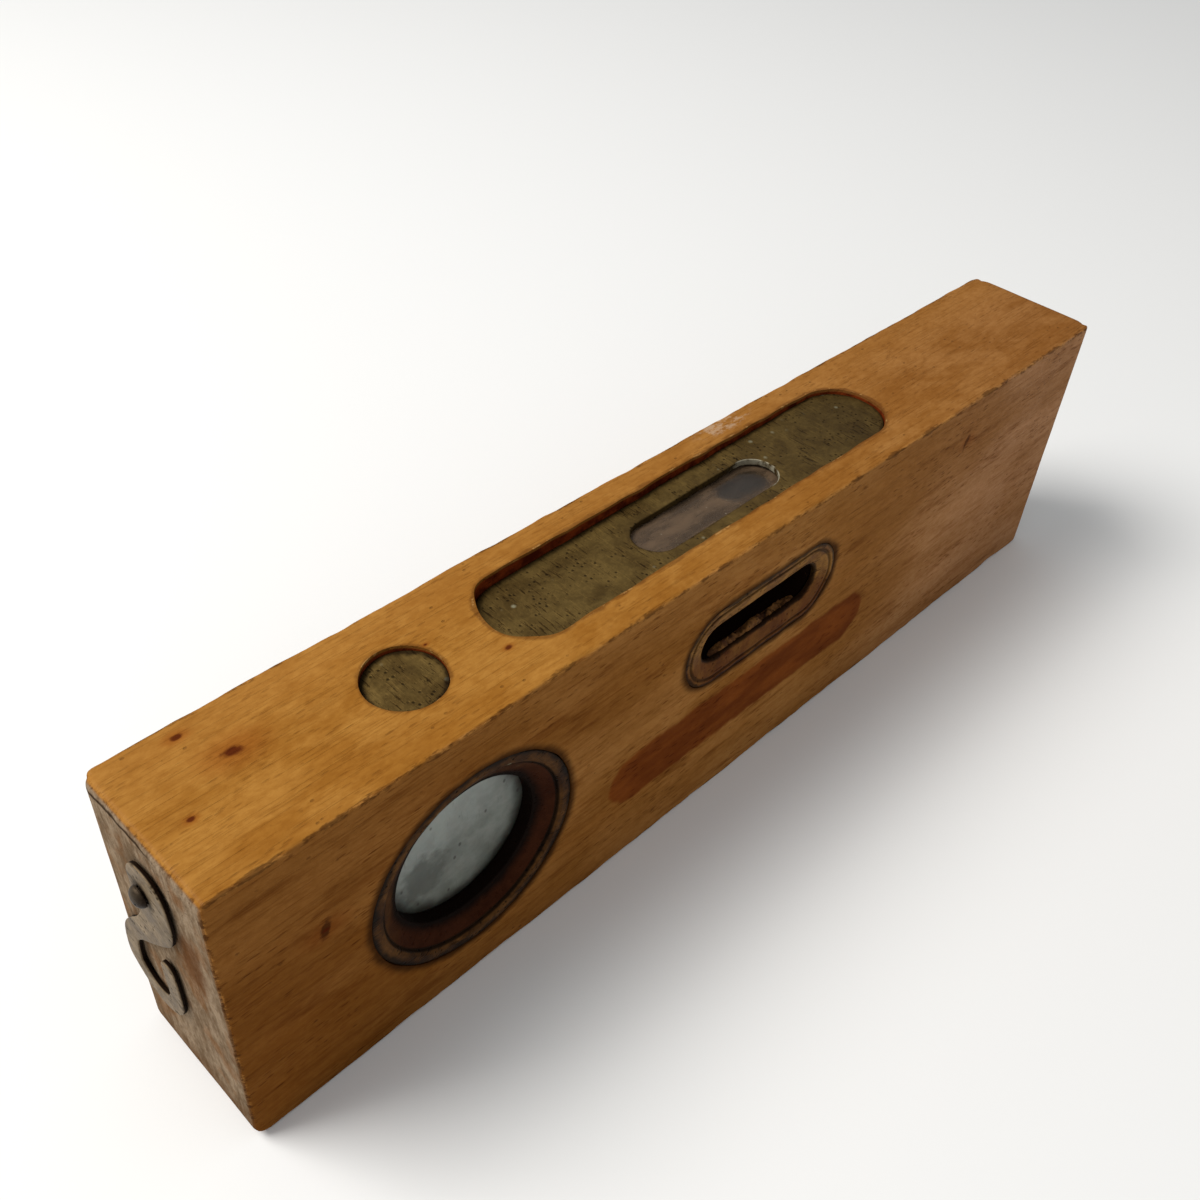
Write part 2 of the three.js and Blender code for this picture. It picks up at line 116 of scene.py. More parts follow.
# Gouges in the front: x, z, half width and half height.
GOUGES = ((58.3, 43.6, 0.75, 2.0), (-85.1, 34.3, 0.95, 2.3))


# ---------------------------------------------------------------- shapes, worked out as whole arrays

def ripple(points, wavelength, seed, waves=20):
    """Smooth seeded unevenness, about -1 to 1: added-up cosines in random directions, all of about
    one wavelength."""
    random = np.random.default_rng(seed)
    directions = random.normal(size=(waves, points.shape[-1]))
    directions /= np.linalg.norm(directions, axis=1, keepdims=True)
    pitch = 2 * np.pi / (wavelength * random.uniform(0.7, 1.5, waves))
    phase = random.uniform(0, 2 * np.pi, waves)
    turn = points @ (directions * pitch[:, None]).T + phase
    return np.cos(turn).sum(-1) / math.sqrt(waves)


def mesh_piece(name, vertices, quads, triangles=None):
    """A mesh object from points in millimetres. Faces that enclose a negative volume are turned over."""
    triangles = np.empty((0, 3), int) if triangles is None else triangles
    halves = np.vstack([quads[:, [0, 1, 2]], quads[:, [0, 2, 3]], triangles])
    a, b, c = (vertices[halves[:, i]] for i in range(3))
    if (a * np.cross(b, c)).sum() < 0:
        quads, triangles = quads[:, ::-1], triangles[:, ::-1]
    mesh = bpy.data.meshes.new(name)
    mesh.from_pydata((vertices * MM).tolist(), [], quads.tolist() + triangles.tolist())
    mesh.polygons.foreach_set("use_smooth", np.ones(len(mesh.polygons), bool))
    piece = bpy.data.objects.new(name, mesh)
    bpy.context.scene.collection.objects.link(piece)
    return piece


def wrapped_grid(count_u, count_v, close_v):
    """Quads over a grid whose first direction closes on itself, and whose second may."""
    columns = count_v if close_v else count_v - 1
    u, v = np.meshgrid(np.arange(count_u), np.arange(columns), indexing="ij")
    u_next, v_next = (u + 1) % count_u, (v + 1) % count_v
    corners = [u * count_v + v, u_next * count_v + v, u_next * count_v + v_next, u * count_v + v_next]
    return np.stack([c.ravel() for c in corners], 1)


def tube_piece(name, points):
    """A closed ring: points[i, j] run round the ring by i and round its section by j."""
    count_u, count_v = points.shape[:2]
    return mesh_piece(name, points.reshape(-1, 3), wrapped_grid(count_u, count_v, True))


def capped_piece(name, points):
    """A closed skin: points[i, j] run round the piece by i and from pole to pole by j.
    The first and last columns are drawn together into one point each, with a fan of triangles."""
    count_u, count_v = points.shape[:2]
    inner = points[:, 1:-1]
    width = count_v - 2
    poles = np.stack([points[:, 0].mean(0), points[:, -1].mean(0)])
    vertices = np.vstack([inner.reshape(-1, 3), poles])
    start = np.arange(count_u) * width
    following = np.roll(start, -1)
    first, last = count_u * width, count_u * width + 1
    fans = np.vstack([
        np.stack([np.full(count_u, first), following, start], 1),
        np.stack([np.full(count_u, last), start + width - 1, following + width - 1], 1),
    ])
    return mesh_piece(name, vertices, wrapped_grid(count_u, width, False), fans)


def soft_corners(points, radius, steps=5, closed=True):
    """A section with each corner as a short curve: a quadratic one from the point `radius` before the
    corner to the point `radius` after it, or less where the sides are short."""
    here = np.array(points, float)

    def towards(other):
        gap = other - here
        span = np.maximum(np.linalg.norm(gap, axis=1, keepdims=True), 1e-9)
        return here + gap / span * np.minimum(radius, span * 0.45)

    start, end = towards(np.roll(here, 1, 0)), towards(np.roll(here, -1, 0))
    t = np.linspace(0, 1, steps)[None, :, None]
    curves = (1 - t) ** 2 * start[:, None] + 2 * t * (1 - t) * here[:, None] + t ** 2 * end[:, None]
    if closed:
        return curves.reshape(-1, here.shape[1])
    return np.vstack([here[:1], curves[1:-1].reshape(-1, here.shape[1]), here[-1:]])


def refined(points, spacing):
    """The same line with extra points, so that none of its steps is much longer than `spacing`."""
    steps = np.linalg.norm(np.diff(points, axis=0), axis=1)
    travelled = np.concatenate([[0], np.cumsum(steps)])
    extra = np.arange(spacing, travelled[-1], spacing)
    every = np.unique(np.round(np.concatenate([travelled, extra]), 4))
    return np.stack([np.interp(every, travelled, column) for column in points.T], 1)


def stadium(share, length, width):
    """A slot's outline: a quarter of the shares goes to each round end and each straight side.
    Length and width may be arrays. A circle is a slot as long as it is wide."""
    radius = width / 2
    half = length / 2 - radius
    part = np.floor(share * 4).astype(int) % 4
    along = share * 4 - np.floor(share * 4)
    angle = np.select([part == 0, part == 1, part == 2], [
        -np.pi / 2 + np.pi * along,
        np.full_like(along, np.pi / 2),
        np.pi / 2 + np.pi * along,
    ], np.full_like(along, 1.5 * np.pi))
    middle = np.select([part == 0, part == 1, part == 2], [
        np.ones_like(along),
        1 - 2 * along,
        -np.ones_like(along),
    ], -1 + 2 * along)
    return np.stack([half * middle + radius * np.cos(angle), radius * np.sin(angle)], -1)


# Each face's right, up and outward directions, as rows.
FACES = {
    "front": np.array([[1, 0, 0], [0, 0, 1], [0, -1, 0]]),
    "back": np.array([[-1, 0, 0], [0, 0, 1], [0, 1, 0]]),
    "top": np.array([[1, 0, 0], [0, 1, 0], [0, 0, 1]]),
    "left": np.array([[0, -1, 0], [0, 0, 1], [-1, 0, 0]]),
}


def on_face(points, face, x=0.0, up=0.0):
    """Points drawn as right, up and out of a face, set on that face of the body."""
    origin = {
        "front": (x, FRONT_Y, up),
        "back": (x, BACK_Y, up),
        "top": (x, up, TOP_Z),
        "left": (LEFT_X, x, up),
    }[face]
    return points @ FACES[face] + np.array(origin)


def slot_skin(size, profile, count=96, wobble=0.0, seed=0):
    """A closed skin round a slot: each profile point is an outset from the outline and a height.
    The first and last points are drawn in to the middle. The outline wanders by `wobble`."""
    share = (np.arange(count) + 0.5) / count
    outline = stadium(share, *size)
    wander = wobble * ripple(outline, 7.0, seed) if wobble else np.zeros(count)
    profile = np.array(profile, float)
    outset = profile[None, :, 0] + wander[:, None]
    flat = stadium(
        np.repeat(share[:, None], len(profile), 1), size[0] + 2 * outset, size[1] + 2 * outset)
    heights = np.broadcast_to(profile[None, :, 1:2], (count, len(profile), 1))
    skin = np.concatenate([flat, heights], -1)
    return np.concatenate([
        skin[:, :1] * [0, 0, 1],
        skin,
        skin[:, -1:] * [0, 0, 1],
    ], 1)


def framed_slot(outer, inner, outer_rim, inner_rim, top_steps, count, inner_place=(0.0, 0.0)):
    """A frame between two slots. Rims are points of (outset from their outline, height): the outer one
    from the underside up, the inner one from the top down. The face and the underside join them."""
    outer_rim = np.array([(0, *p) for p in outer_rim], float)
    inner_rim = np.array([(1, *p) for p in inner_rim], float)

    def between(start, end, steps):
        return start + (end - start) * np.linspace(0, 1, steps + 2)[1:-1, None]

    section = np.vstack([
        outer_rim,
        between(outer_rim[-1], inner_rim[0], top_steps),
        inner_rim,
        between(inner_rim[-1], outer_rim[0], 2),
    ])
    share = (np.arange(count) + 0.5) / count
    grid = np.repeat(share[:, None], len(section), 1)
    mixing, outset, height = (section[None, :, i] for i in range(3))
    flat = (1 - mixing[..., None]) * stadium(grid, outer[0] + 2 * outset, outer[1] + 2 * outset) \
        + mixing[..., None] * (stadium(grid, inner[0] + 2 * outset, inner[1] + 2 * outset) + inner_place)
    return np.concatenate([flat, np.broadcast_to(height[..., None], (*grid.shape, 1))], -1)


def turned(profile, count=96):
    """A turned solid about +Z from points of (radius, height) that run from axis to axis."""
    angle = np.arange(count) * 2 * np.pi / count
    radius, height = profile[None, :, 0], profile[None, :, 1]
    return np.stack([
        radius * np.cos(angle)[:, None],
        radius * np.sin(angle)[:, None],
        np.broadcast_to(height, (count, len(profile))),
    ], -1)


def sharpen(piece):
    """Edges that turn by more than an angle are drawn sharp, and all others smooth."""
    mesh = piece.data
    mesh.polygons.foreach_set("use_smooth", np.ones(len(mesh.polygons), bool))
    mesh.set_sharp_from_angle(angle=math.radians(SHARP_ANGLE))


def apply_modifiers(piece):
    """What the piece's modifiers make becomes its own mesh."""
    graph = bpy.context.evaluated_depsgraph_get()
    made = bpy.data.meshes.new_from_object(piece.evaluated_get(graph))
    piece.modifiers.clear()
    piece.data = made


def cut_away(piece, cutters):
    """The cutters' space is taken out of the piece, one after another, and the cutters are put away."""
    for cutter in cutters:
        step = piece.modifiers.new(cutter.name, "BOOLEAN")
        step.operation = "DIFFERENCE"
        step.solver = "MANIFOLD"
        step.object = cutter
    apply_modifiers(piece)
    for cutter in cutters:
        bpy.data.objects.remove(cutter)


# ---------------------------------------------------------------- the wooden body

def edge_grid(low, high, step):
    """Places from one side of the body to the other: close together near both, `step` apart between them."""
    near = np.array([0, 0.15, 0.35, 0.6, 0.9, 1.25, 1.7, 2.25, 3.0, 4.0])
    count = int(round((high - low - 2 * near[-1]) / step))
    middle = np.linspace(low + near[-1], high - near[-1], count + 1)[1:-1]
    return np.concatenate([low + near, middle, (high - near)[::-1]])


def block_skin(step):
    """The six faces of the block as one grid of quads, with the points along shared edges merged."""
    axes = [edge_grid(BODY_LOW[i], BODY_HIGH[i], step) for i in range(3)]
    points, quads, start = [], [], 0
    for across in range(3):
        first, second = [i for i in range(3) if i != across]
        a, b = np.meshgrid(axes[first], axes[second], indexing="ij")
        rows, columns = a.shape
        index = np.arange(rows * columns).reshape(rows, columns)
        cells = [index[:-1, :-1], index[1:, :-1], index[1:, 1:], index[:-1, 1:]]
        cells = np.stack([c.ravel() for c in cells], 1)
        # Seen against the outward direction, the two sides of an axis wind opposite ways.
        winds_out = across != 1
        for side in (axes[across][0], axes[across][-1]):
            face = np.empty((rows * columns, 3))
            face[:, first], face[:, second], face[:, across] = a.ravel(), b.ravel(), side
            points.append(face)
            outward = (side > BODY_MIDDLE[across]) == winds_out
            quads.append((cells if outward else cells[:, ::-1]) + start)
            start += rows * columns
    points = np.vstack(points)
    _, kept, where = np.unique(np.round(points, 4), axis=0, return_index=True, return_inverse=True)
    return points[kept], where.ravel()[np.vstack(quads)]


def corner_radius(place):
    """The two upper corners are sharper than the lower ones, and the one over the hook is the sharpest."""
    upper = np.where(place[:, 0] < 0, HOOK_END_RADIUS, 1.7)
    return np.where(place[:, 1] > 0, upper, CORNER_RADIUS)


def post_radius(place):
    """Seen from above, the front corner by the hook is nearly square, and the right end's two are the
    roundest."""
    at_front = np.where(place[:, 0] < 0, 0.5, 3.4)
    at_back = np.where(place[:, 0] < 0, 2.3, 3.2)
    return np.where(place[:, 1] < 0, at_front, at_back)


def round_corners(points, axes, radius):
    """Seen along the third axis, each square corner becomes a quarter circle: a point's longer offset from
    the corner circle's centre becomes its distance from it."""
    place = points[:, axes] - BODY_MIDDLE[axes]
    half = BODY_SIZE[axes] / 2 - radius(place)[:, None]
    core = np.clip(place, -half, half)
    offset = place - core
    distance = np.linalg.norm(offset, axis=1)
    longer = np.abs(offset).max(1)
    scale = np.where(distance > 1e-9, longer / np.maximum(distance, 1e-9), 1.0)
    points[:, axes] = core + offset * scale[:, None] + BODY_MIDDLE[axes]
    return points


def soften_edges(points, radius):
    """The edges of the front and the back become quarter circles of a radius that varies from place to
    place: a point's distances in from the outline and from the face turn into a place on that circle."""
    place = points[:, [0, 2]] - BODY_MIDDLE[[0, 2]]
    corner = corner_radius(place)
    half = BODY_SIZE[[0, 2]] / 2 - corner[:, None]
    outside = np.maximum(np.abs(place) - half, 0)
    reach = np.linalg.norm(outside, axis=1)
    nearest = np.where(reach > 1e-9, corner - reach, corner + (half - np.abs(place)).min(1))
    in_corner = reach[:, None] > 1e-9
    straight = np.eye(2)[(half - np.abs(place)).argmin(1)]
    normal = np.where(in_corner, outside / np.maximum(reach, 1e-9)[:, None], straight) * np.sign(place)
    depth = BODY_SIZE[1] / 2 - np.abs(points[:, 1])
    offset = np.stack([np.clip(radius - nearest, 0, radius), np.clip(radius - depth, 0, radius)], 1)
    distance = np.linalg.norm(offset, axis=1)
    scale = offset.max(1) / np.maximum(distance, 1e-9)
    inward = offset * (1 - scale[:, None])
    points[:, [0, 2]] -= normal * inward[:, :1]
    points[:, 1] -= np.sign(points[:, 1]) * inward[:, 1]
    return points


def dent(points, centre, size, depth):
    """A bruise: points near the centre move towards the body's middle by a bell curve of their distance."""
    offset = (points - np.array(centre)) / np.array(size)
    inward = (BODY_MIDDLE - np.array(centre)) / BODY_SIZE
    inward /= np.linalg.norm(inward)
    return points + depth * np.exp(-(offset ** 2).sum(1))[:, None] * inward


def worn_block():
    """The block with rounded corners, worn edges, hand-planed faces, bruises along its edges and a gouge."""
    points, quads = block_skin(GRID_STEP)
    wear = 0.5 + 0.16 * ripple(points, 24.0, 3) + 0.14 * ripple(points, 5.0, 4)
    points = round_corners(points, [0, 2], corner_radius)
    points = soften_edges(points, np.clip(wear, 0.2, 1.2))
    points = round_corners(points, [0, 1], post_radius)
    inward = (BODY_MIDDLE - points) / BODY_SIZE
    inward /= np.linalg.norm(inward, axis=1, keepdims=True)
    waviness = 0.05 * (1 + ripple(points, 45.0, 5)) + 0.02 * (1 + ripple(points, 9.0, 6))
    inward[:, 2] *= points[:, 2] > 2.0
    points = points + inward * waviness[:, None]
    random = np.random.default_rng(11)
    bruises = 34
    for x in random.uniform(LEFT_X + 6, RIGHT_X - 4, bruises):
        y = FRONT_Y if random.random() < 0.65 else BACK_Y
        z = TOP_Z if random.random() < 0.7 else 0.0
        size = random.uniform(0.5, 1.5)
        spread = (size * random.uniform(1.0, 2.5), size, size)
        depth = random.uniform(0.08, 0.32) * (1.0 if y == FRONT_Y else 0.4)
        points = dent(points, (x, y, z), spread, depth)
    gouge_x, gouge_z = GOUGES[0][:2]
    points = dent(points, (gouge_x, FRONT_Y, gouge_z), (0.9, 2.0, 2.2), 0.6)
    return mesh_piece("body_of_wood", points, quads)


def mouth(depth_low, fillet):
    """A cutter's wall from its floor to the face, opening at the mouth by a small rounding."""
    turn = np.linspace(0, np.pi / 2, 5)
    lip = np.stack([fillet * (1 - np.cos(turn)), -fillet + fillet * np.sin(turn)], 1)
    return [(-0.5, depth_low), (0, depth_low), *lip.tolist(), (fillet + 0.6, 0.6)]


def straight(low, high):
    """A cutter's wall with no rounding."""
    return [(0, low), (0, high)]


def wooden_body():
    """The worn block with its recess, bores, windows and seats cut out, one after another."""
    body = worn_block()
    plate_floor = PLATE_LOW[2] - TOP_Z
    gap = 0.35
    plate_size = PLATE_SIZE + 0.5
    plumb_size = (2 * PLUG_RADIUS + gap,) * 2
    seat_size = (2 * ROUND_RADIUS + gap,) * 2
    side_seat = (SIDE_OUTER[0] + gap, SIDE_OUTER[1] + gap)
    round_tunnel = (2 * ROUND_OPENING + 2 * FIT,) * 2
    side_tunnel = (SIDE_OPENING[0] + 2 * FIT, SIDE_OPENING[1] + 2 * FIT)
    tunnel_wall = straight(-BODY_SIZE[1] - 1, 1)
    cutters = [
        ("plate_recess", "top", PLATE_X, PLATE_Y,
         slot_skin(plate_size, mouth(plate_floor - 0.6, 0.14), 192, 0.14, 21)),
        ("vial_chamber", "top", 0.0, 0.0,
         slot_skin(CHAMBER, straight(CHAMBER_FLOOR - TOP_Z, plate_floor + 0.1))),
        ("plumb_bore", "top", PLUMB_X, 0.0,
         slot_skin(plumb_size, mouth(PLUMB_FLOOR - TOP_Z, 0.14), 96, 0.08, 22)),
        ("round_tunnel", "front", ROUND_X, ROUND_Z, slot_skin(round_tunnel, tunnel_wall)),
        ("side_tunnel", "front", SIDE_X, SIDE_Z, slot_skin(side_tunnel, tunnel_wall)),
        ("pin_hole", "left", 0.0, PIN_Z, slot_skin((2.5, 2.5), mouth(-15.0, 0.15), 32)),
    ]
    for face in ("front", "back"):
        cutters += [
            ("round_seat_" + face, face, ROUND_X, ROUND_Z,
             slot_skin(seat_size, mouth(-ROUND_DEPTH - FIT, 0.12), 192, 0.06, 23)),
            ("side_seat_" + face, face, SIDE_X, SIDE_Z,
             slot_skin(side_seat, mouth(-SIDE_DEPTH - FIT, 0.12), 128, 0.08, 24)),
        ]
    pieces = [capped_piece(name, on_face(skin, face, x, z)) for name, face, x, z, skin in cutters]
    cut_away(body, pieces)
    sharpen(body)
    return body


# ---------------------------------------------------------------- brass

def sunk_slope(x, middle, rise):
    """How far a face set in by hand stands above its middle's height: it rises steadily to the right."""
    return (x - middle) * rise


def top_plate():
    """The long plate: a flat frame between its outline and the slot, with a slightly beaten face.
    It lies deeper at its left end than at its right one."""
    low, high = PLATE_LOW[2] - TOP_Z, PLATE_HIGH[2] - TOP_Z
    outer_rim = soft_corners([(-0.4, low), (0, low), (0, high), (-0.4, high)], 0.12, 4, False)
    inner_rim = soft_corners([(0.5, high), (0, high), (0, low), (0.5, low)], 0.15, 4, False)
    points = framed_slot(PLATE_SIZE + 0.3, SLOT, outer_rim, inner_rim, 10, 288, (SLOT_X - PLATE_X, -PLATE_Y))
    face = points[..., 2] > high - 0.02
    beaten = 0.05 * ripple(points[..., :2], 16.0, 31) + 0.02 * ripple(points[..., :2], 4.0, 32)
    points[..., 2] += face * beaten
    points[..., 2] += sunk_slope(points[..., 0], SLOT_X, 0.0165)
    return tube_piece("plate_of_brass", on_face(points, "top", PLATE_X, PLATE_Y))


def plug():
    """A disc with a beaten face, which lies deeper on its left side than on its right one."""
    low, high = PLUG_LOW[2] - TOP_Z, PLUG_HIGH[2] - TOP_Z
    radius = PLUG_RADIUS + 0.1
    corners = [(0, low), (radius, low), (radius, high), (0, high + 0.1)]
    profile = refined(soft_corners(corners, 0.2, 5, False), 0.5)
    points = turned(profile)
    beaten = 0.04 * ripple(points[..., :2], 3.5, 33) * (points[..., 2] > high - 0.2)
    points[..., 2] += beaten + sunk_slope(points[..., 0], 0.0, 0.055)
    return capped_piece("plug_of_brass", on_face(points, "top", PLUMB_X))


def round_bezel(face):
    """A dished ring: a narrow rim, a thin step, a dish that slopes in to the lip over the pane."""
    lip = ROUND_OPENING
    foot = ROUND_RADIUS - 2.8
    rim = ROUND_RADIUS + 0.08
    section = [
        (foot, -ROUND_DEPTH),
        (rim, -ROUND_DEPTH),
        (rim, -0.12),
        (ROUND_STEP + 0.7, -0.08),
        (ROUND_STEP + 0.1, -0.4),
        (ROUND_STEP - 0.02, -0.85),
        (ROUND_STEP - 0.22, -0.7),
        (lip + 0.5, -ROUND_DISH + 0.1),
        (lip, -ROUND_DISH),
        (lip, -ROUND_LIP),
        (foot, -ROUND_LIP),
    ]
    closed = soft_corners(section, 0.16, 4)
    profile = refined(np.vstack([closed, closed[:1]]), 0.7)[:-1]
    angle = np.arange(160) * 2 * np.pi / 160
    spokes = np.stack([np.cos(angle), np.sin(angle)], 1)
    radius = profile[None, :, 0] + 0.04 * ripple(spokes * ROUND_STEP, 9.0, 34)[:, None]
    height = np.broadcast_to(profile[None, :, 1], radius.shape)
    points = np.concatenate([spokes[:, None] * radius[..., None], height[..., None]], -1)
    points[..., 2] -= 0.05 * (1 + ripple(points[..., :2], 14.0, 35)) * (points[..., 2] > -ROUND_DISH - 0.2)
    return tube_piece("round_bezel_of_brass_" + face, on_face(points, face, ROUND_X, ROUND_Z))


def side_bezel(face):
    """A frame with round ends: a flat rim, a fine groove, and a face that slopes in to the opening."""
    outer_rim = soft_corners([
        (-1.0, -SIDE_DEPTH), (0.08, -SIDE_DEPTH), (0.08, -0.08), (-0.75, -0.02),
        (-0.95, -0.28), (-1.2, -0.3), (-1.4, -0.08),
    ], 0.1, 4, False)
    inner_rim = soft_corners([
        (0.9, -SIDE_DISH + 0.12), (0.3, -SIDE_DISH - 0.05), (0, -SIDE_DISH - 0.3), (0, -SIDE_DEPTH),
        (1.0, -SIDE_DEPTH),
    ], 0.16, 5, False)
    points = framed_slot(SIDE_OUTER, SIDE_OPENING, outer_rim, inner_rim, 4, 192)
    points[..., 2] -= 0.05 * (1 + ripple(points[..., :2], 8.0, 36)) * (points[..., 2] > -SIDE_DEPTH + 0.1)
    return tube_piece("side_bezel_of_brass_" + face, on_face(points, face, SIDE_X, SIDE_Z))


# ---------------------------------------------------------------- the hook and its pin

def smooth_path(points, count):
    """A Catmull-Rom curve through rows of numbers, at evenly shared parameters."""
    rows = np.vstack([2 * points[0] - points[1], points, 2 * points[-1] - points[-2]])
    at = np.linspace(0, len(points) - 1.000001, count)
    index = at.astype(int)
    t = (at - index)[:, None]
    p0, p1, p2, p3 = (rows[index + i] for i in range(4))
    return 0.5 * (2 * p1 + (p2 - p0) * t + (2 * p0 - 5 * p1 + 4 * p2 - p3) * t ** 2
                  + (3 * p1 - p0 - 3 * p2 + p3) * t ** 3)


def hanging_hook():
    """A flat J with a round eye: a rounded flat section carried down a line whose half width changes.
    Each end closes as a half circle of the width there."""
    bowl_centre = np.array([-4.65, -22.1])
    bowl_radius = 5.1
    turn = np.radians(np.arange(190, 361, 17))
    bowl = bowl_centre + bowl_radius * np.stack([np.cos(turn), np.sin(turn)], 1)
    # Right, up and half width, from the top of the eye to the tip, with the pin at the origin.
    line = np.array([
        (0.6, 5.4, 4.2), (0.9, 2.7, 4.3), (1.1, 0.0, 4.4), (1.0, -2.6, 4.4), (0.6, -5.2, 3.8),
        (-0.9, -8.1, 2.7), (-3.5, -11.1, 2.0), (-6.6, -14.2, 1.7), (-8.9, -17.7, 1.55),
        *[(x, y, 1.6) for x, y in bowl], (0.5, -19.2, 1.6), (0.4, -16.6, 1.55), (0.3, -14.6, 1.5),
    ])
    path = smooth_path(line, 240)
    middle, half = path[:, :2], path[:, 2]
    step = np.gradient(middle, axis=0)
    step /= np.linalg.norm(step, axis=1, keepdims=True)
    across = np.stack([-step[:, 1], step[:, 0]], 1)
    travelled = np.concatenate([[0], np.cumsum(np.linalg.norm(np.diff(middle, axis=0), axis=1))])
    to_end = np.minimum(travelled, travelled[-1] - travelled)
    closing = np.sqrt(np.clip(1 - np.clip(1 - to_end / half, 0, 1) ** 2, 0, 1))
    thickness = 0.75 * (HOOK_HIGH[0] - HOOK_LOW[0])
    section = soft_corners([(-1, 0), (1, 0), (1, 1), (-1, 1)], 0.16, 4)
    inner = LEFT_X - HOOK_HIGH[0]
    reach = (half * closing)[:, None, None] * section[None, :, :1]
    flat = middle[:, None] + across[:, None] * reach
    height = inner + section[None, :, 1] * thickness + 0.05 * ripple(path[:, None, :2], 14.0, 41)
    points = np.concatenate([flat, np.broadcast_to(height[..., None], (*flat.shape[:2], 1))], -1)
    hook = capped_piece("hook_of_steel", on_face(points.transpose(1, 0, 2), "left", 0.0, PIN_Z))
    hole = capped_piece("hook_hole", on_face(
        slot_skin((2.7, 2.7), [(0, -1), (0, 4)], 48), "left", 0.0, PIN_Z))
    cut_away(hook, [hole])
    sharpen(hook)
    return hook


def hook_pin():
    """A round-headed pin: a pointed shank in the wood and a low dome, a little beaten, over the hook."""
    point = LEFT_X - PIN_HIGH[0]
    head_floor = LEFT_X - HOOK_LOW[0] + 0.05
    head_top = LEFT_X - PIN_LOW[0]
    edge = 0.15
    turn = np.linspace(0, np.pi / 2, 9)[:-1]
    dome = np.stack([
        PIN_HEAD * np.cos(turn),
        head_floor + edge + (head_top - head_floor - edge) * np.sin(turn),
    ], 1)
    shank = [(0, point), (0.5, point + 1.5), (1.0, point + 3.5), (1.0, head_floor)]
    profile = np.array([*shank, (PIN_HEAD, head_floor), *dome, (0, head_top)])
    points = turned(refined(profile, 0.4), 48)
    points *= 1 + 0.02 * ripple(points, 2.5, 42)[..., None] * (points[..., 2:] > head_floor) * [1, 1, 0.5]
    return capped_piece("pin_of_steel", on_face(points, "left", 0.0, PIN_Z))


# ---------------------------------------------------------------- vials

def vial_profiles(radius, length):
    """Sections of a tube, of the spirit in its bore, and of its seal, from foot to head. The bore is a
    barrel: its radius grows by one arch of a sine between its ends."""
    bore = radius - GLASS_WALL
    along = np.linspace(0, 1, 15)
    barrel = np.stack([bore + BARREL * np.sin(np.pi * along), 3.6 + (length - 7.6) * along], 1)
    foot = [(0, 0), (radius * 0.55, 0.2), (radius * 0.87, 1.0), (radius, 2.6)]
    inner_foot = np.array([(0, 1.6), (bore * 0.5, 1.7), (bore * 0.85, 2.2)])
    outside = np.array([*foot, (radius, length), (bore, length)])
    tube = np.vstack([outside, barrel[::-1], inner_foot[::-1]])
    level = length - 3.2
    grown = np.array([0.02, 0])
    spirit = np.vstack([inner_foot - [0, 0.02], barrel[:-1] + grown, [[bore + 0.02, level], [0, level]]])
    seal_radius, seal_low, seal_high = bore - 0.05, length - 3, length - 0.4
    seal = np.array([(0, seal_low), (seal_radius, seal_low), (seal_radius, seal_high), (0, seal_high)])
    return refined(tube, 1.5), refined(spirit, 1.5), soft_corners(seal, 0.2, 4, False)


def lay_main(points):
    """From a vial's own +Z to the main vial's place along +X."""
    return np.stack([points[..., 2] + MAIN_LOW[0], points[..., 1], -points[..., 0] + MAIN_Z], -1)


def stand_plumb(points):
    """From a vial's own +Z to the plumb vial's place, which stands upright."""
    return points + [PLUMB_X, 0, PLUMB_LOW[2]]


def bubble(name, centre, half_sizes, seed):
    """A pocket of air: an ellipsoid with a faint unevenness."""
    along = np.linspace(0, np.pi, 33)
    profile = np.stack([np.sin(along), -np.cos(along)], 1)
    points = turned(profile, 48)
    points = points * (1 + 0.01 * ripple(points, 1.2, seed)[..., None])
    if half_sizes[0] > half_sizes[2]:
        points = points[..., [2, 0, 1]]
    return capped_piece(name, points * half_sizes + centre)


def vial_pieces():
    """Each vial's tube, spirit, seal and bubble, by the names of the nodes that they stand for."""
    made = {}
    places = {
        "main": (MAIN_RADIUS, MAIN_HIGH[0] - MAIN_LOW[0], lay_main),
        "plumb": (PLUMB_RADIUS, PLUMB_HIGH[2] - PLUMB_LOW[2], stand_plumb),
    }
    for vial, (radius, length, place) in places.items():
        for part, profile in zip(("tube", "spirit", "seal"), vial_profiles(radius, length)):
            made[f"{vial}_vial_{part}"] = capped_piece(f"{vial}_{part}", place(turned(profile, 72)))
    low, high = node_box("main_vial_bubble")
    made["main_vial_bubble"] = bubble(
        "main_bubble_of_air", (low + high) / 2 + [0, 0, 0.2], np.array(MAIN_BUBBLE), 51)
    low, high = node_box("plumb_vial_bubble")
    made["plumb_vial_bubble"] = bubble(
        "plumb_bubble_of_air", (low + high) / 2, np.array(PLUMB_BUBBLE), 52)
    return made


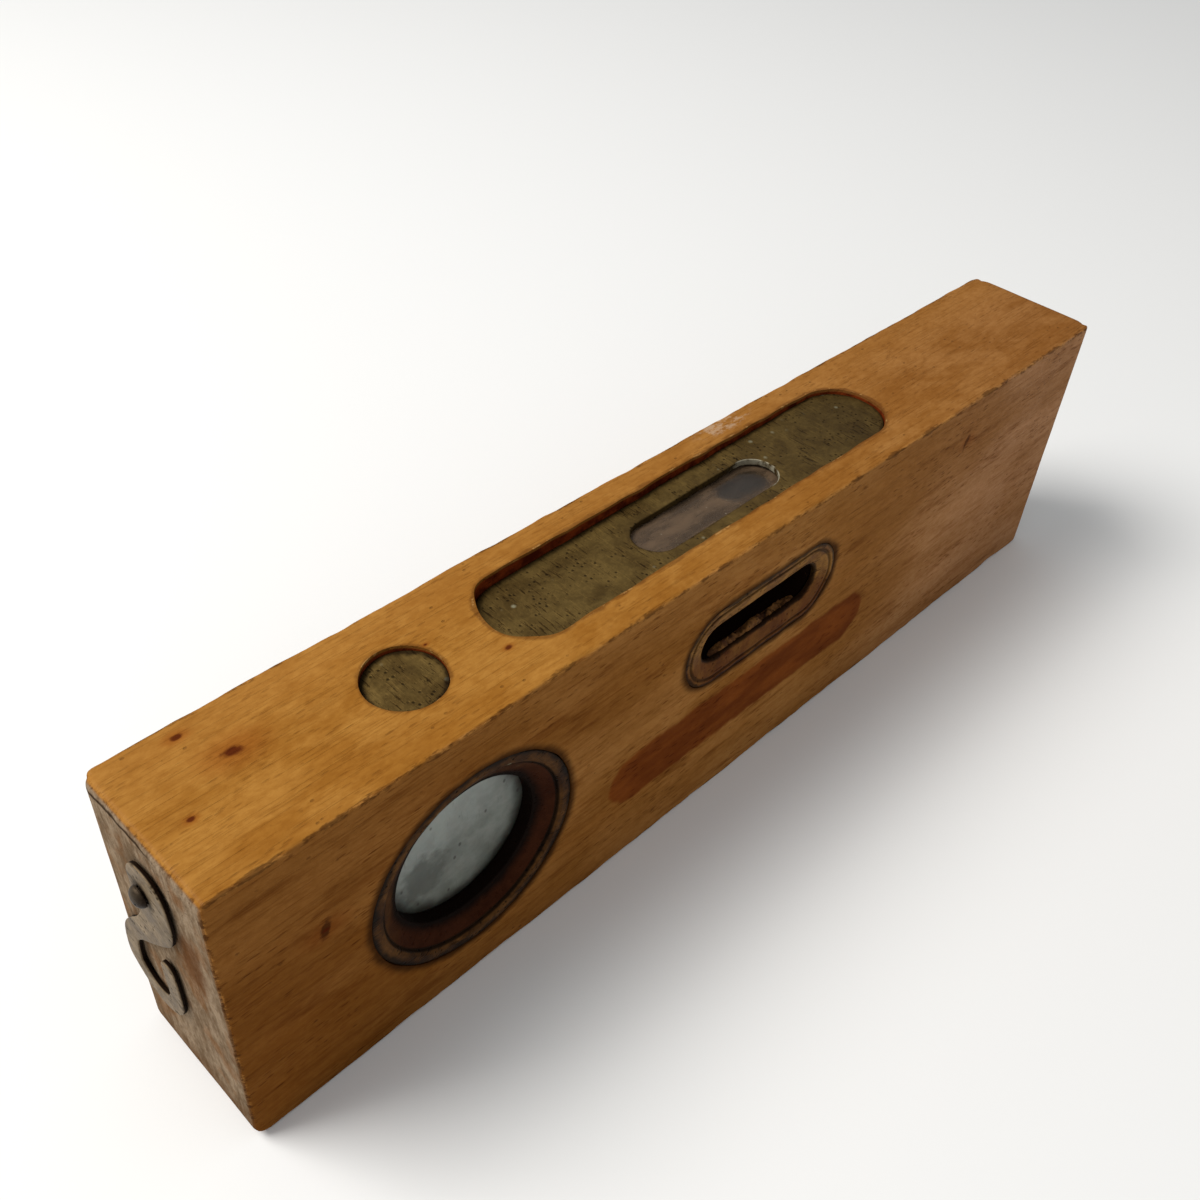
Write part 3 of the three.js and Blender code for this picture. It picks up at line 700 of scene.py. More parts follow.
def plaster_bed():
    """Plaster round the main vial: a trough that the vial lies in, high at both ends, with a lumpy top.
    Each point of the outline is drawn in towards the middle line, and the height is the lower of the
    trough's and the crest's."""
    low_crest = 2.6
    share = (np.arange(160) + 0.5) / 160
    inset = np.linspace(1, 0.02, 26)
    length, width = BED_HIGH[0] - BED_LOW[0], BED_HIGH[1] - BED_LOW[1]
    rim = stadium(share, length, width)
    spine = np.stack([np.clip(rim[:, 0], -length / 2 + width / 2, length / 2 - width / 2), 0 * share], 1)
    flat = spine[:, None] + (rim - spine)[:, None] * inset[None, :, None]
    x, y = flat[..., 0], flat[..., 1]
    trough = MAIN_Z - np.sqrt(np.clip((MAIN_RADIUS + FIT) ** 2 - y ** 2, 0, None))
    at_end = np.clip((np.abs(x) - 17) / 4, 0, 1)
    crest = BED_LOW[2] + low_crest + at_end * (BED_HIGH[2] - BED_LOW[2] - low_crest)
    lumps = 0.5 * ripple(flat, 3.2, 61) + 0.25 * ripple(flat, 1.4, 62)
    top = np.minimum(trough, crest + lumps * (1 - 0.6 * at_end))
    top = np.maximum(top, BED_LOW[2] + 0.5)
    upper = np.concatenate([flat, top[..., None]], -1)
    under = np.concatenate([rim, np.full((len(rim), 1), BED_LOW[2])], -1)[:, None]
    centre = under * [0, 0, 1]
    skin = np.concatenate([centre, under * [0.5, 0.5, 1], under, upper, upper[:, -1:]], 1)
    return capped_piece("bed_of_plaster", skin)


def plaster_spill(face, seed):
    """Plaster that ran out of a side window's tunnel: a low bar with round ends along the opening's
    lower edge, whose height is broken into crumbs."""
    reach = 11.0
    behind_front = 2.1
    along = np.linspace(-1, 1, 150)[:, None]
    around = np.linspace(0, 2 * np.pi, 25)[None, :-1]
    ends = np.sqrt(np.clip(1 - along ** 8, 0, 1))
    x = reach * along + 0 * around
    across = 0.85 * np.cos(around) * ends
    lift = np.clip(np.sin(around), -0.25, 1) * ends
    floor = SIDE_Z - SIDE_OPENING[1] / 2 - FIT
    place = np.stack([x, across], -1)
    rough = 0.7 + 0.5 * ripple(place, 7.0, seed) + 0.25 * ripple(place, 1.6, seed + 1)
    rough += 0.18 * ripple(place, 0.7, seed + 2)
    height = floor + lift * np.clip(rough, 0.1, 2.2) * 0.95
    outward = -1 if face == "front" else 1
    depth = outward * (abs(FRONT_Y) - behind_front) + across
    points = np.stack([x + SIDE_X, depth, height], -1)
    return capped_piece("plaster_spill_" + face, points.transpose(1, 0, 2))


# ---------------------------------------------------------------- shader maths

class Wire:
    """A socket that arithmetic works on. Each operation on values adds one Math node."""

    def __init__(self, paint, socket):
        self.paint = paint
        self.socket = socket

    def math(self, operation, *values):
        return self.paint.node("ShaderNodeMath", {"operation": operation}, dict(enumerate(values)))

    def __add__(self, other):
        return self.math("ADD", self, other)

    def __sub__(self, other):
        return self.math("SUBTRACT", self, other)

    def __mul__(self, other):
        return self.math("MULTIPLY", self, other)

    def __truediv__(self, other):
        return self.math("DIVIDE", self, other)

    def __pow__(self, other):
        return self.math("POWER", self, other)

    def __radd__(self, other):
        return self.math("ADD", other, self)

    def __rsub__(self, other):
        return self.math("SUBTRACT", other, self)

    def __rmul__(self, other):
        return self.math("MULTIPLY", other, self)

    def __rtruediv__(self, other):
        return self.math("DIVIDE", other, self)

    def __neg__(self):
        return self.math("MULTIPLY", self, -1)

    def __abs__(self):
        return self.math("ABSOLUTE", self)

    def smaller(self, other):
        return self.math("MINIMUM", self, other)

    def larger(self, other):
        return self.math("MAXIMUM", self, other)


def tint(red, green, blue):
    """A colour by its usual 0 to 255 numbers, as a shader wants it."""
    share = np.array([red, green, blue]) / 255
    linear = np.where(share <= 0.04045, share / 12.92, ((share + 0.055) / 1.055) ** 2.4)
    return (*linear.tolist(), 1.0)


class Paint:
    """One material and its nodes. Every length in its patterns is in millimetres on the object."""

    def __init__(self, name):
        self.material = bpy.data.materials.new(name)
        self.material.use_nodes = True
        self.tree = self.material.node_tree
        self.tree.nodes.clear()
        object_place = self.node("ShaderNodeTexCoord", out="Object")
        self.place = self.vector("SCALE", object_place, scale=1 / MM)
        self.x, self.y, self.z = (
            self.node("ShaderNodeSeparateXYZ", sockets={0: self.place}, out=i) for i in range(3))

    def node(self, kind, settings=None, sockets=None, out=0):
        """A node of a type, with its settings made first and then its sockets' links and values."""
        made = self.tree.nodes.new(kind)
        for name, value in (settings or {}).items():
            setattr(made, name, value)
        for name, value in (sockets or {}).items():
            if isinstance(value, Wire):
                self.tree.links.new(value.socket, made.inputs[name])
            else:
                made.inputs[name].default_value = value
        return Wire(self, made.outputs[out]) if len(made.outputs) else None

    def vector(self, operation, first, second=None, third=None, scale=None):
        values = {i: v for i, v in enumerate((first, second, third, scale)) if v is not None}
        return self.node("ShaderNodeVectorMath", {"operation": operation}, values)

    def stretched(self, size, seed):
        """The place, divided by a size for each axis and moved on by a seed."""
        pitch = np.broadcast_to(np.array(size, float), 3)
        shift = np.random.default_rng(seed).uniform(-40, 40, 3)
        return self.vector("MULTIPLY_ADD", self.place, tuple(1 / pitch), tuple(shift))

    def noise(self, size, seed, detail=3.0, rough=0.55, bend=0.0):
        """Cloudy unevenness about 0.5, with features of the given size."""
        return self.node("ShaderNodeTexNoise", sockets={
            "Vector": self.stretched(size, seed), "Scale": 1.0, "Detail": detail,
            "Roughness": rough, "Distortion": bend})

    def step(self, value, low, high):
        """0 below low, 1 above high, smooth between. It falls where low is the larger."""
        start, end = (0.0, 1.0) if low < high else (1.0, 0.0)
        return self.node("ShaderNodeMapRange", {"interpolation_type": "SMOOTHSTEP"}, {
            0: value, 1: min(low, high), 2: max(low, high), 3: start, 4: end})

    def patches(self, size, seed, low, high, detail=3.0, rough=0.55, bend=0.0):
        """Where cloudy unevenness rises from low to high, or falls where low is the larger."""
        return self.step(self.noise(size, seed, detail, rough, bend), low, high)

    def spots(self, size, seed, outer, inner):
        """Scattered spots, about one to each cell of the given size: 0 past the outer distance from a
        spot's centre and 1 within the inner one."""
        away = self.node("ShaderNodeTexVoronoi", sockets={
            "Vector": self.stretched(size, seed), "Scale": 1.0, "Randomness": 1.0}, out="Distance")
        return self.step(away, outer, inner)

    def mix(self, share, first, second):
        """From the first colour to the second."""
        return self.node("ShaderNodeMix", {"data_type": "RGBA"}, {0: share, 6: first, 7: second}, 2)

    def tinted(self, colour, share, factors):
        """The colour, multiplied by the factors for red, green and blue where the share is 1."""
        multiplied = self.node("ShaderNodeMix", {"data_type": "RGBA", "blend_type": "MULTIPLY"}, {
            0: 1.0, 6: colour, 7: (*factors, 1.0)}, 2)
        return self.mix(share, colour, multiplied)

    def length(self, *parts):
        """The length of an arrow, from its parts."""
        total = parts[0] * parts[0]
        for part in parts[1:]:
            total = total + part * part
        return total ** 0.5

    def from_slot(self, u, v, size):
        """Distance outwards from a slot's outline, negative inside it."""
        straight = max(size[0] - size[1], 0) / 2
        beyond = (abs(u) - straight).larger(0)
        return self.length(beyond, v) - size[1] / 2

    def bump(self, height, depth, under=None):
        """Unevenness: the height's 0 to 1 stands for the depth in millimetres."""
        sockets = {"Height": height, "Distance": depth * MM, "Strength": 1.0}
        if under is not None:
            sockets["Normal"] = under
        return self.node("ShaderNodeBump", sockets=sockets)

    def surface(self, **values):
        """The main shader. A name's underscores stand for the spaces in its socket's name."""
        sockets = {name.replace("_", " "): value for name, value in values.items()}
        return self.node("ShaderNodeBsdfPrincipled", sockets=sockets)

    def finish(self, shader):
        """The material, with the shader as its surface."""
        self.node("ShaderNodeOutputMaterial", sockets={"Surface": shader})
        return self.material


# ---------------------------------------------------------------- wood

class WoodPaint(Paint):
    """The block's paint, with where its faces and edges are and the patterns that its faces share."""

    def __init__(self, name):
        super().__init__(name)
        self.to_end, self.to_side, self.to_flat = (
            float(half) - abs(axis - middle)
            for half, axis, middle in zip(BODY_SIZE / 2, (self.x, self.y, self.z), BODY_MIDDLE))
        to_wall = self.to_end.smaller(self.to_side)
        self.from_edge = to_wall.larger(self.to_end.larger(self.to_side).smaller(self.to_flat))
        at_corner = self.step(self.to_end, 4.6, 4.3) * self.step(self.to_side.smaller(self.to_flat), 4.6, 4.3)
        self.inside = self.step(to_wall.smaller(self.to_flat), 0.3, 0.7) * (1 - at_corner)
        self.on_top = (self.step(self.z, TOP_Z - 0.75, TOP_Z - 0.25)
                       * self.step(self.to_side, 0.1, 0.5) * self.step(self.to_end, 0.1, 0.5))
        self.on_front = self.step(-self.y, -FRONT_Y - 0.75, -FRONT_Y - 0.2) * (1 - self.on_top)
        self.on_end = (self.step(self.to_end, 0.8, 0.25)
                       * (1 - self.on_top) * self.step(self.to_side, 0.15, 0.7))

        fine = self.noise((9.0, 0.5, 0.5), 101, 4.0, 0.6)
        broad = self.noise((19.8, 2.6, 2.6), 102, 3.0, 0.55, 0.4)
        bands = self.noise((45.0, 6.0, 5.0), 103, 2.0, 0.5, 0.6)
        self.streaks = fine * 0.4 + broad * 0.35 + bands * 0.25
        self.fibres = self.patches((13.0, 0.34, 0.34), 104, 0.52, 0.7, 3.0, 0.6)
        self.figure = self.noise((2.4, 1.0, 1.0), 105, 3.0, 0.6, 0.5)
        self.mottle = self.noise((11.0, 6.0, 6.0), 111, 3.0, 0.6, 0.5)
        self.fleck = (self.spots((3.0, 0.62, 0.62), 113, 0.34, 0.14)
                      * self.patches((14.0, 7.0, 7.0), 114, 0.46, 0.58))
        self.pores = self.spots((2.3, 1.5, 1.5), 115, 0.17, 0.07) * self.patches(9.0, 116, 0.5, 0.6)
        wear = self.noise((4.0, 1.2, 1.2), 126, 4.0, 0.75)
        self.worn = (self.step(self.from_edge + (wear - 0.5) * 1.6, 0.75, 0.3)
                     * self.step(wear, 0.48, 0.58) * self.step(self.z, 3, 12))


def top_varnish(p):
    """Amber, browner to the right and paler to the back, with pale streaks, dark figure and fibres."""
    colour = p.mix(p.step(p.x, -60, 95), tint(164, 114, 50), tint(148, 101, 54))
    colour = p.tinted(colour, p.step(p.mottle, 0.66, 0.36), (0.8, 0.72, 0.56))
    colour = p.tinted(colour, p.step(p.streaks, 0.4, 0.6) * 0.6, (1.14, 1.18, 1.25))
    colour = p.tinted(colour, p.step(p.figure, 0.36, 0.64) * 0.5, (0.84, 0.78, 0.66))
    colour = p.tinted(colour, p.fibres * 0.4, (0.74, 0.64, 0.48))
    return p.mix(p.step(p.y, 0, BACK_Y) * 0.35, colour, tint(166, 114, 54))


def front_varnish(p):
    """Brown at the left end and paler at the right one, darker at the sole, with clouds, fibres,
    smudges, two gouges, and a long red-brown stain along its middle. Its colours are darker than the
    top's as painted shade, and its paling to the right is a painted sheen."""
    # Painted shade: these browns are darker than the top's. Painted sheen: paler, greyer colours towards the
    # right end.
    colour = p.mix(p.step(p.x, -95, 0), tint(130, 85, 39), tint(160, 112, 60))
    colour = p.mix(p.step(p.x, 10, 90), colour, tint(167, 123, 86))
    colour = p.tinted(colour, p.patches((34.0, 15.0, 15.0), 112, 0.65, 0.35, 2.0, 0.5), (0.74, 0.66, 0.5))
    colour = p.tinted(colour, p.step(p.streaks, 0.42, 0.6) * 0.55, (1.2, 1.22, 1.28))
    colour = p.tinted(colour, p.step(p.figure, 0.4, 0.62) * 0.4, (0.82, 0.76, 0.66))
    colour = p.tinted(colour, p.fibres * 0.6, (0.7, 0.6, 0.46))
    smudges = p.patches((15.0, 2.6, 2.6), 109, 0.52, 0.7, 4.0, 0.65, 0.3)
    colour = p.tinted(colour, smudges * 0.6, (0.55, 0.42, 0.28))
    colour = p.tinted(colour, p.step(p.z, 9, 0) * 0.25, (0.62, 0.52, 0.34))

    stain_height, stain_size = 18.5, (66.0, 10.5)
    from_stain = p.from_slot(p.x, p.z - stain_height, stain_size) + (p.noise(5.0, 117) - 0.5) * 2.2
    stain = p.mix(p.patches((16.0, 4.0, 4.0), 118, 0.36, 0.64), tint(98, 47, 16), tint(122, 64, 24))
    stain = p.mix(p.step(p.x, 24, 34) * 0.5, stain, tint(92, 44, 18))
    colour = p.mix(p.step(from_stain, 0.6, -0.5) * p.on_front * 0.96, colour, stain)
    for x, z, width, height in GOUGES:
        gouge = p.length((p.x - x - (p.z - z) * 0.25) / width, (p.z - z) / height)
        gouge = p.step(gouge + (p.noise(1.2, 106) - 0.5), 1.1, 0.5) * p.on_front
        colour = p.mix(gouge * 0.75, colour, tint(48, 22, 10))
    return colour


def bare_end_grain(p):
    """Grey-brown, with stains, pores and dark lines, and browner at the hook's eye and at the sole."""
    clouds = p.patches((4.0, 2.2, 5.0), 119, 0.35, 0.65, 4.0, 0.65)
    colour = p.mix(clouds, tint(110, 91, 71), tint(149, 130, 108))
    colour = p.mix(p.patches((9.0, 5.0, 7.0), 120, 0.5, 0.66) * 0.5, colour, tint(124, 84, 50))
    colour = p.mix(p.spots((1.5, 0.6, 1.1), 121, 0.3, 0.1) * 0.35, colour, tint(78, 58, 44))
    dark_lines = p.patches((3.0, 0.5, 7.0), 107, 0.56, 0.7, 3.0, 0.6)
    colour = p.mix(dark_lines * 0.5, colour, tint(88, 66, 48))
    from_eye = p.length(p.y + 7.2, (p.z - 36) * 0.55) + (p.noise(3.0, 122) - 0.5) * 4
    colour = p.mix(p.step(from_eye, 4.2, 1.5) * 0.75, colour, tint(92, 56, 28))
    low = p.step(p.z + (p.noise(5.0, 123) - 0.5) * 8, 9, 1)
    return p.mix(low * 0.7, colour, tint(96, 66, 40))


def knots(p, colour):
    """Knots on the top and the front: a dark core in a red-brown halo, both longer along the grain
    than across it."""
    for centre, mask, radius, reach in (
        ((-84.4, 3.9, TOP_Z), p.on_top, 1.15, 4.6),
        ((-88.3, 10.4, TOP_Z), p.on_top, 0.6, 1.8),
        ((-93.8, -1.8, TOP_Z), p.on_top, 0.45, 1.1),
        ((-85.1, FRONT_Y, 34.3), p.on_front, 0.5, 3.6),
        ((-47.2, -4.8, TOP_Z), p.on_top, 0.5, 0.9),
        ((-55.2, 3.0, TOP_Z), p.on_top, 0.3, 0.7),
        ((-3.0, FRONT_Y, 28.0), p.on_front, 0.6, 1.4),
        ((58.3, FRONT_Y, 43.6), p.on_front, 0.4, 2.6),
    ):
        along, across, up = (axis - c for axis, c in zip((p.x, p.y, p.z), centre))
        wobble = (p.noise(1.2, 70 + int(centre[0]) % 7) - 0.5) * radius
        away = p.length(along * 0.62, across, up) + wobble
        halo = p.step(away, reach, radius * 0.5) * mask
        core = p.step(away, radius, radius * 0.35) * mask
        colour = p.tinted(colour, halo * 0.55, (0.74, 0.46, 0.26))
        colour = p.mix(core * 0.9, colour, tint(76, 26, 8))
    return colour


def end_crack(p, colour):
    """A dark crack in the back half of the left end, just under the top."""
    away = abs(p.z - TOP_Z + 1.2 + (p.noise(4.0, 102, 3.0) - 0.5) * 1.6)
    crack = p.step(away, 0.4, 0.1) * p.step(p.x, LEFT_X + 1.2, LEFT_X + 0.8) * p.step(p.y, -5, 0)
    return p.mix(crack * 0.85, colour, tint(34, 20, 10))


def rim_dirt_and_shade(p, colour):
    """Dirt and painted shade in the wood round the windows and round the plate and the plug, and slivers
    of bare wood along the recess."""
    around_round = p.from_slot(p.x - ROUND_X, p.z - ROUND_Z, (2 * ROUND_RADIUS,) * 2)
    around_side = p.from_slot(p.x - SIDE_X, p.z - SIDE_Z, SIDE_OUTER)
    reach = 0.5 + p.noise(5.0, 124, 3.0) * 1.7
    # Dirt and painted shade: a dark band in the wood round the bezels.
    dirt_and_shade = p.step(around_round.smaller(around_side) - reach, 0.4, -1.2) * p.step(p.to_side, 0.9, 0.3)
    colour = p.mix(dirt_and_shade * 0.85, colour, tint(40, 20, 8))
    around_plate = p.from_slot(p.x - PLATE_X, p.y - PLATE_Y, PLATE_SIZE + 0.6)
    around_plug = p.from_slot(p.x - PLUMB_X, p.y, (2 * PLUG_RADIUS,) * 2)
    near_rim = around_plate.smaller(around_plug)
    # Dirt and painted shade along the rims of the plate and the plug.
    dirt_and_shade_share = p.step(near_rim - p.noise(2.2, 125) * 1.3, 0.1, -0.5) * p.on_top
    colour = p.mix(dirt_and_shade_share * 0.5, colour, tint(72, 34, 12))
    sliver = p.step(abs(near_rim - 0.12), 0.22, 0.06) * p.patches(3.2, 108, 0.56, 0.64, 4.0, 0.7) * p.on_top
    return p.mix(sliver * 0.55, colour, tint(184, 142, 84))


def edge_wear(p, colour):
    """Edges worn pale in some places and dirty in others, and a scuff on the top's back edge."""
    colour = p.mix(p.worn * 0.65, colour, p.mix(p.on_end, tint(178, 124, 62), tint(156, 132, 104)))
    chips = p.noise((5.0, 1.5, 1.5), 127, 4.0, 0.75)
    edge_dirt = p.step(p.from_edge + (chips - 0.5) * 3.4, 0.55, 0.1) * p.step(chips, 0.56, 0.46)
    colour = p.mix(edge_dirt * 0.6, colour, tint(58, 30, 12))
    from_scuff = p.length((p.x - 16.5) * 0.28, p.y - (BACK_Y - 1.6))
    scuff = p.step(from_scuff, 2.4, 1.0) * p.patches((2.6, 1.4, 1.4), 128, 0.44, 0.62, 4.0, 0.7) * p.on_top
    return p.mix(scuff * 0.6, colour, tint(188, 160, 132))


def inner_walls(p, colour):
    """Dark red-brown on the recess's walls, partly varnish pooled there and partly painted shade, and painted
    shade, nearly black, below its floor.
    """
    walls = p.mix(p.patches(2.5, 129, 0.35, 0.65), tint(66, 22, 8), tint(112, 46, 16))
    # Painted shade: nearly black deep inside the body.
    walls = p.mix(p.step(p.z, TOP_Z - 4, TOP_Z - 2.5), tint(24, 12, 7), walls)
    return p.mix(p.inside, colour, walls)


def varnished_wood():
    """Amber varnish over pale hardwood, darker on the front as painted shade, and bare, grey and dirty on the
    end grain.
    """
    p = WoodPaint("varnished_hardwood")
    colour = p.mix(p.on_top, front_varnish(p), top_varnish(p))
    colour = p.mix(p.on_end, colour, bare_end_grain(p))
    off_end = 1 - p.on_end
    colour = p.tinted(colour, p.fleck * (0.28 + 0.35 * p.on_front) * off_end, (0.42, 0.3, 0.2))
    colour = p.mix(p.pores * 0.4 * off_end, colour, tint(66, 34, 14))
    colour = p.tinted(colour, p.patches((1.6, 0.8, 0.8), 110, 0.4, 0.62, 3.0, 0.7) * 0.4, (0.78, 0.7, 0.58))
    for layer in (knots, end_crack, rim_dirt_and_shade, edge_wear, inner_walls):
        colour = layer(p, colour)

    relief = (p.streaks * 0.35 + p.mottle * 0.3 - p.fleck * 0.3 - p.pores * 0.5
              - p.fibres * 0.25 + p.figure * 0.15)
    fine = p.bump(p.noise((1.2, 0.35, 0.35), 130, 5.0, 0.7), 0.05, p.bump(relief, 0.2))
    rough = (0.46 + (p.noise((9.0, 4.0, 4.0), 131) - 0.5) * 0.35
             + p.on_end * 0.25 + p.worn * 0.15 + p.inside * 0.2)
    gloss = (p.on_top * 0.07 + p.on_front * (0.02 + p.step(p.x, -70, 90) * 0.04)) * (1 - p.inside)
    return p.finish(p.surface(
        Base_Color=colour, Roughness=rough, Normal=fine, Coat_Weight=gloss, Coat_Roughness=0.34,
        Specular_IOR_Level=0.0))


# ---------------------------------------------------------------- metals

def tarnished(name, dark, light, seed, marks_along="y", dirt_and_shade=None, metal=0.6,
              dirt_and_shade_colour=tint(26, 16, 8), black_shade=None, painted_glint=None):
    """Brass or steel under old patina: cloudy tarnish, short scratches one way, pits and pale specks.
    `metal` is the clean face's metallic share. Dirt, with painted shade in places, painted black shade
    and a painted glint take their shares from `dirt_and_shade`, `black_shade` and `painted_glint`."""
    p = Paint(name)
    clouds = p.noise(5.5, seed, 4.0, 0.6, 0.5)
    colour = p.mix(p.step(clouds, 0.34, 0.66), dark, light)
    mark_size = (0.34, 4.2, 0.6) if marks_along == "y" else (3.5, 0.6, 0.4)
    lines = p.noise(mark_size, seed + 1, 3.0, 0.6)
    dashes = p.step(lines, 0.56, 0.63) * p.patches(5.0, seed + 2, 0.42, 0.54)
    colour = p.tinted(colour, dashes * 0.8, (0.24, 0.2, 0.16))
    bright_lines = p.patches(mark_size, seed + 3, 0.58, 0.7, 3.0, 0.6)
    colour = p.tinted(colour, bright_lines * 0.4, (1.9, 1.9, 1.8))
    colour = p.tinted(colour, p.patches(0.8, seed + 9, 0.42, 0.6, 3.0, 0.7) * 0.4, (1.5, 1.5, 1.5))
    pits = p.spots(1.0, seed + 4, 0.3, 0.1) * p.patches(4.0, seed + 5, 0.42, 0.54)
    colour = p.mix(pits * 0.75, colour, tint(20, 14, 7))
    specks = p.spots(3.4, seed + 6, 0.16, 0.05) * p.patches(6.0, seed + 7, 0.5, 0.62)
    colour = p.mix(specks * 0.6, colour, tint(140, 140, 118))
    dirt_and_shade_share = 0.0
    # Dirt, with painted shade in places, in a patchy dark colour.
    if dirt_and_shade:
        dirt_and_shade_share = dirt_and_shade(p)
        patchy_dark = p.patches(3.0, seed + 10, 0.64, 0.36, 4.0, 0.65)
        colour = p.mix(dirt_and_shade_share, colour, p.tinted(dirt_and_shade_colour, patchy_dark, (0.7, 0.62, 0.55)))
    # Painted black shade.
    if black_shade:
        colour = p.mix(black_shade(p), colour, tint(9, 7, 5))
    # A painted glint, nearly white.
    if painted_glint:
        colour = p.mix(painted_glint(p), colour, tint(206, 200, 176))
    rough = 0.5 + (clouds - 0.5) * 0.4 + pits * 0.2 + specks * 0.2 + dirt_and_shade_share * 0.15
    metallic = (1 - specks) * metal * (1 - 0.6 * dirt_and_shade_share)
    relief = clouds * 0.3 + lines * 0.3 - pits * 0.6 - dashes * 0.3 + specks * 0.2
    fine = p.bump(p.noise(0.35, seed + 8, 4.0, 0.7), 0.03, p.bump(relief, 0.14))
    return p.finish(p.surface(
        Base_Color=colour, Roughness=rough, Metallic=metallic, Normal=fine, Specular_IOR_Level=0.03))


def plate_shade_and_darkening(p):
    """Darker along the recess wall and towards the right, and painted shade along the slot's edge."""
    rim = p.from_slot(p.x - PLATE_X, p.y - PLATE_Y, PLATE_SIZE)
    slot = p.from_slot(p.x - SLOT_X, p.y, SLOT)
    edge = p.step(rim + p.noise(2.0, 201) * 1.4, -0.2, 0.7)
    # Painted shade along the slot's edge.
    lip = p.step(slot - p.noise(1.5, 202) * 0.6, 0.1, -0.35)
    rightward = p.step(p.x, 6, 36) * 0.35
    return (edge * 0.75).larger(lip * 0.6).larger(rightward)


def slot_painted_glint(p):
    """A painted glint on the slot's edge round its right end."""
    slot = p.from_slot(p.x - SLOT_X, p.y, SLOT)
    glint_patches = p.patches(2.6, 210, 0.4, 0.56, 4.0, 0.7) * p.step(p.x, SLOT_X + 9, SLOT_X + 12)
    return p.step(abs(slot - 0.02), 0.16, 0.04) * glint_patches * 0.5


def plug_rim_darkening(p):
    """Darker along the bore's wall."""
    rim = p.from_slot(p.x - PLUMB_X, p.y, (2 * PLUG_RADIUS,) * 2)
    return p.step(rim + p.noise(2.0, 203) * 1.6, -0.3, 0.6) * 0.85


def round_grime(p):
    """Dirt in the dish, thick in its lower right."""
    u, v = p.x - ROUND_X, p.z - ROUND_Z
    radius = p.length(u, v)
    dish = p.step(radius, ROUND_STEP + 0.1, ROUND_STEP - 0.4)
    lower_right = p.step((u * 0.6 - v * 0.8) / ROUND_STEP + (p.noise(7.0, 204) - 0.5) * 0.9, -0.8, 0.1)
    return dish * (0.3 + 0.65 * lower_right)


def round_black_shade(p):
    """Painted black shade on the outer edge, in the step line and round the opening."""
    radius = p.length(p.x - ROUND_X, p.z - ROUND_Z)
    line = p.step(abs(radius - (ROUND_STEP - 0.05)), 0.4, 0.12)
    outer = p.step(radius + p.noise(3.0, 205, 3.0) * 2.4, ROUND_RADIUS + 0.1, ROUND_RADIUS + 1.1)
    lip = p.step(radius - p.noise(4.0, 211, 3.0) * 1.6, ROUND_OPENING + 1.1, ROUND_OPENING - 0.4)
    return (line * 0.8).larger(outer * 0.85).larger(lip * 0.9)


def side_grime(p):
    """Dirt over the frame, thicker below than above."""
    v = p.z - SIDE_Z
    return p.step(v + (p.noise(5.0, 206) - 0.5) * 5, 1.5, -3) * 0.6


def side_black_shade(p):
    """Painted black shade on the outer edge, in the groove and on the opening's edge."""
    u, v = p.x - SIDE_X, p.z - SIDE_Z
    outer = p.from_slot(u, v, SIDE_OUTER)
    groove = p.step(abs(outer + 1.15), 0.5, 0.15)
    edge = p.step(outer + p.noise(2.5, 207, 3.0) * 1.6, 0.0, 0.7)
    inner = p.step(p.from_slot(u, v, SIDE_OPENING) - p.noise(2.0, 212) * 0.8, 0.2, -0.3)
    return (groove * 0.6).larger(edge * 0.8).larger(inner * 0.85)


def hook_rust_and_shade(p):
    """Painted shade on the sheet's edges, a painted shadow round the pin, and rust."""
    u, v = -p.y, p.z - PIN_Z
    # Painted shadow of the pin's head.
    near_pin = p.step(p.length(u, v) + (p.noise(1.5, 208) - 0.5) * 2, 3.0, 1.3)
    rust = p.patches(4.5, 209, 0.52, 0.66, 4.0, 0.6)
    # Painted shade on the sheet's edges.
    edges = p.step(p.x, HOOK_HIGH[0] - 0.58, HOOK_HIGH[0] - 0.4)
    return (near_pin * 0.75).larger(rust * 0.3).larger(edges)


# ---------------------------------------------------------------- glass, spirit and plaster

def dusty_glass():
    """A flat glass under a film of dust, wiped in a rounded patch near its right end."""
    p = Paint("dusty_flat_glass")
    wiped = p.from_slot(p.x - SLOT_X - 9.5, p.y - 0.4, (11.0, 5.6)) + (p.noise(2.5, 301) - 0.5) * 2.0
    clean = p.step(wiped, 0.6, -1.3)
    film = p.noise((6.0, 2.5, 2.5), 302, 4.0, 0.65)
    specks = p.spots(1.6, 303, 0.13, 0.04)
    dust = p.mix(p.step(film, 0.35, 0.65), tint(74, 58, 42), tint(98, 78, 58))
    dust = p.mix(specks * 0.6, dust, tint(150, 136, 116))
    cover = (0.78 + (film - 0.5) * 0.5) * (1 - 0.8 * clean)
    dull = p.surface(
        Base_Color=dust, Roughness=0.62, Normal=p.bump(film, 0.08), Specular_IOR_Level=0.25)
    wiped_glass = p.surface(
        Base_Color=(0.74, 0.7, 0.6, 1), Roughness=0.12, IOR=1.45, Transmission_Weight=1.0)
    return p.finish(p.node("ShaderNodeMixShader", sockets={0: cover.larger(specks), 1: wiped_glass, 2: dull}))


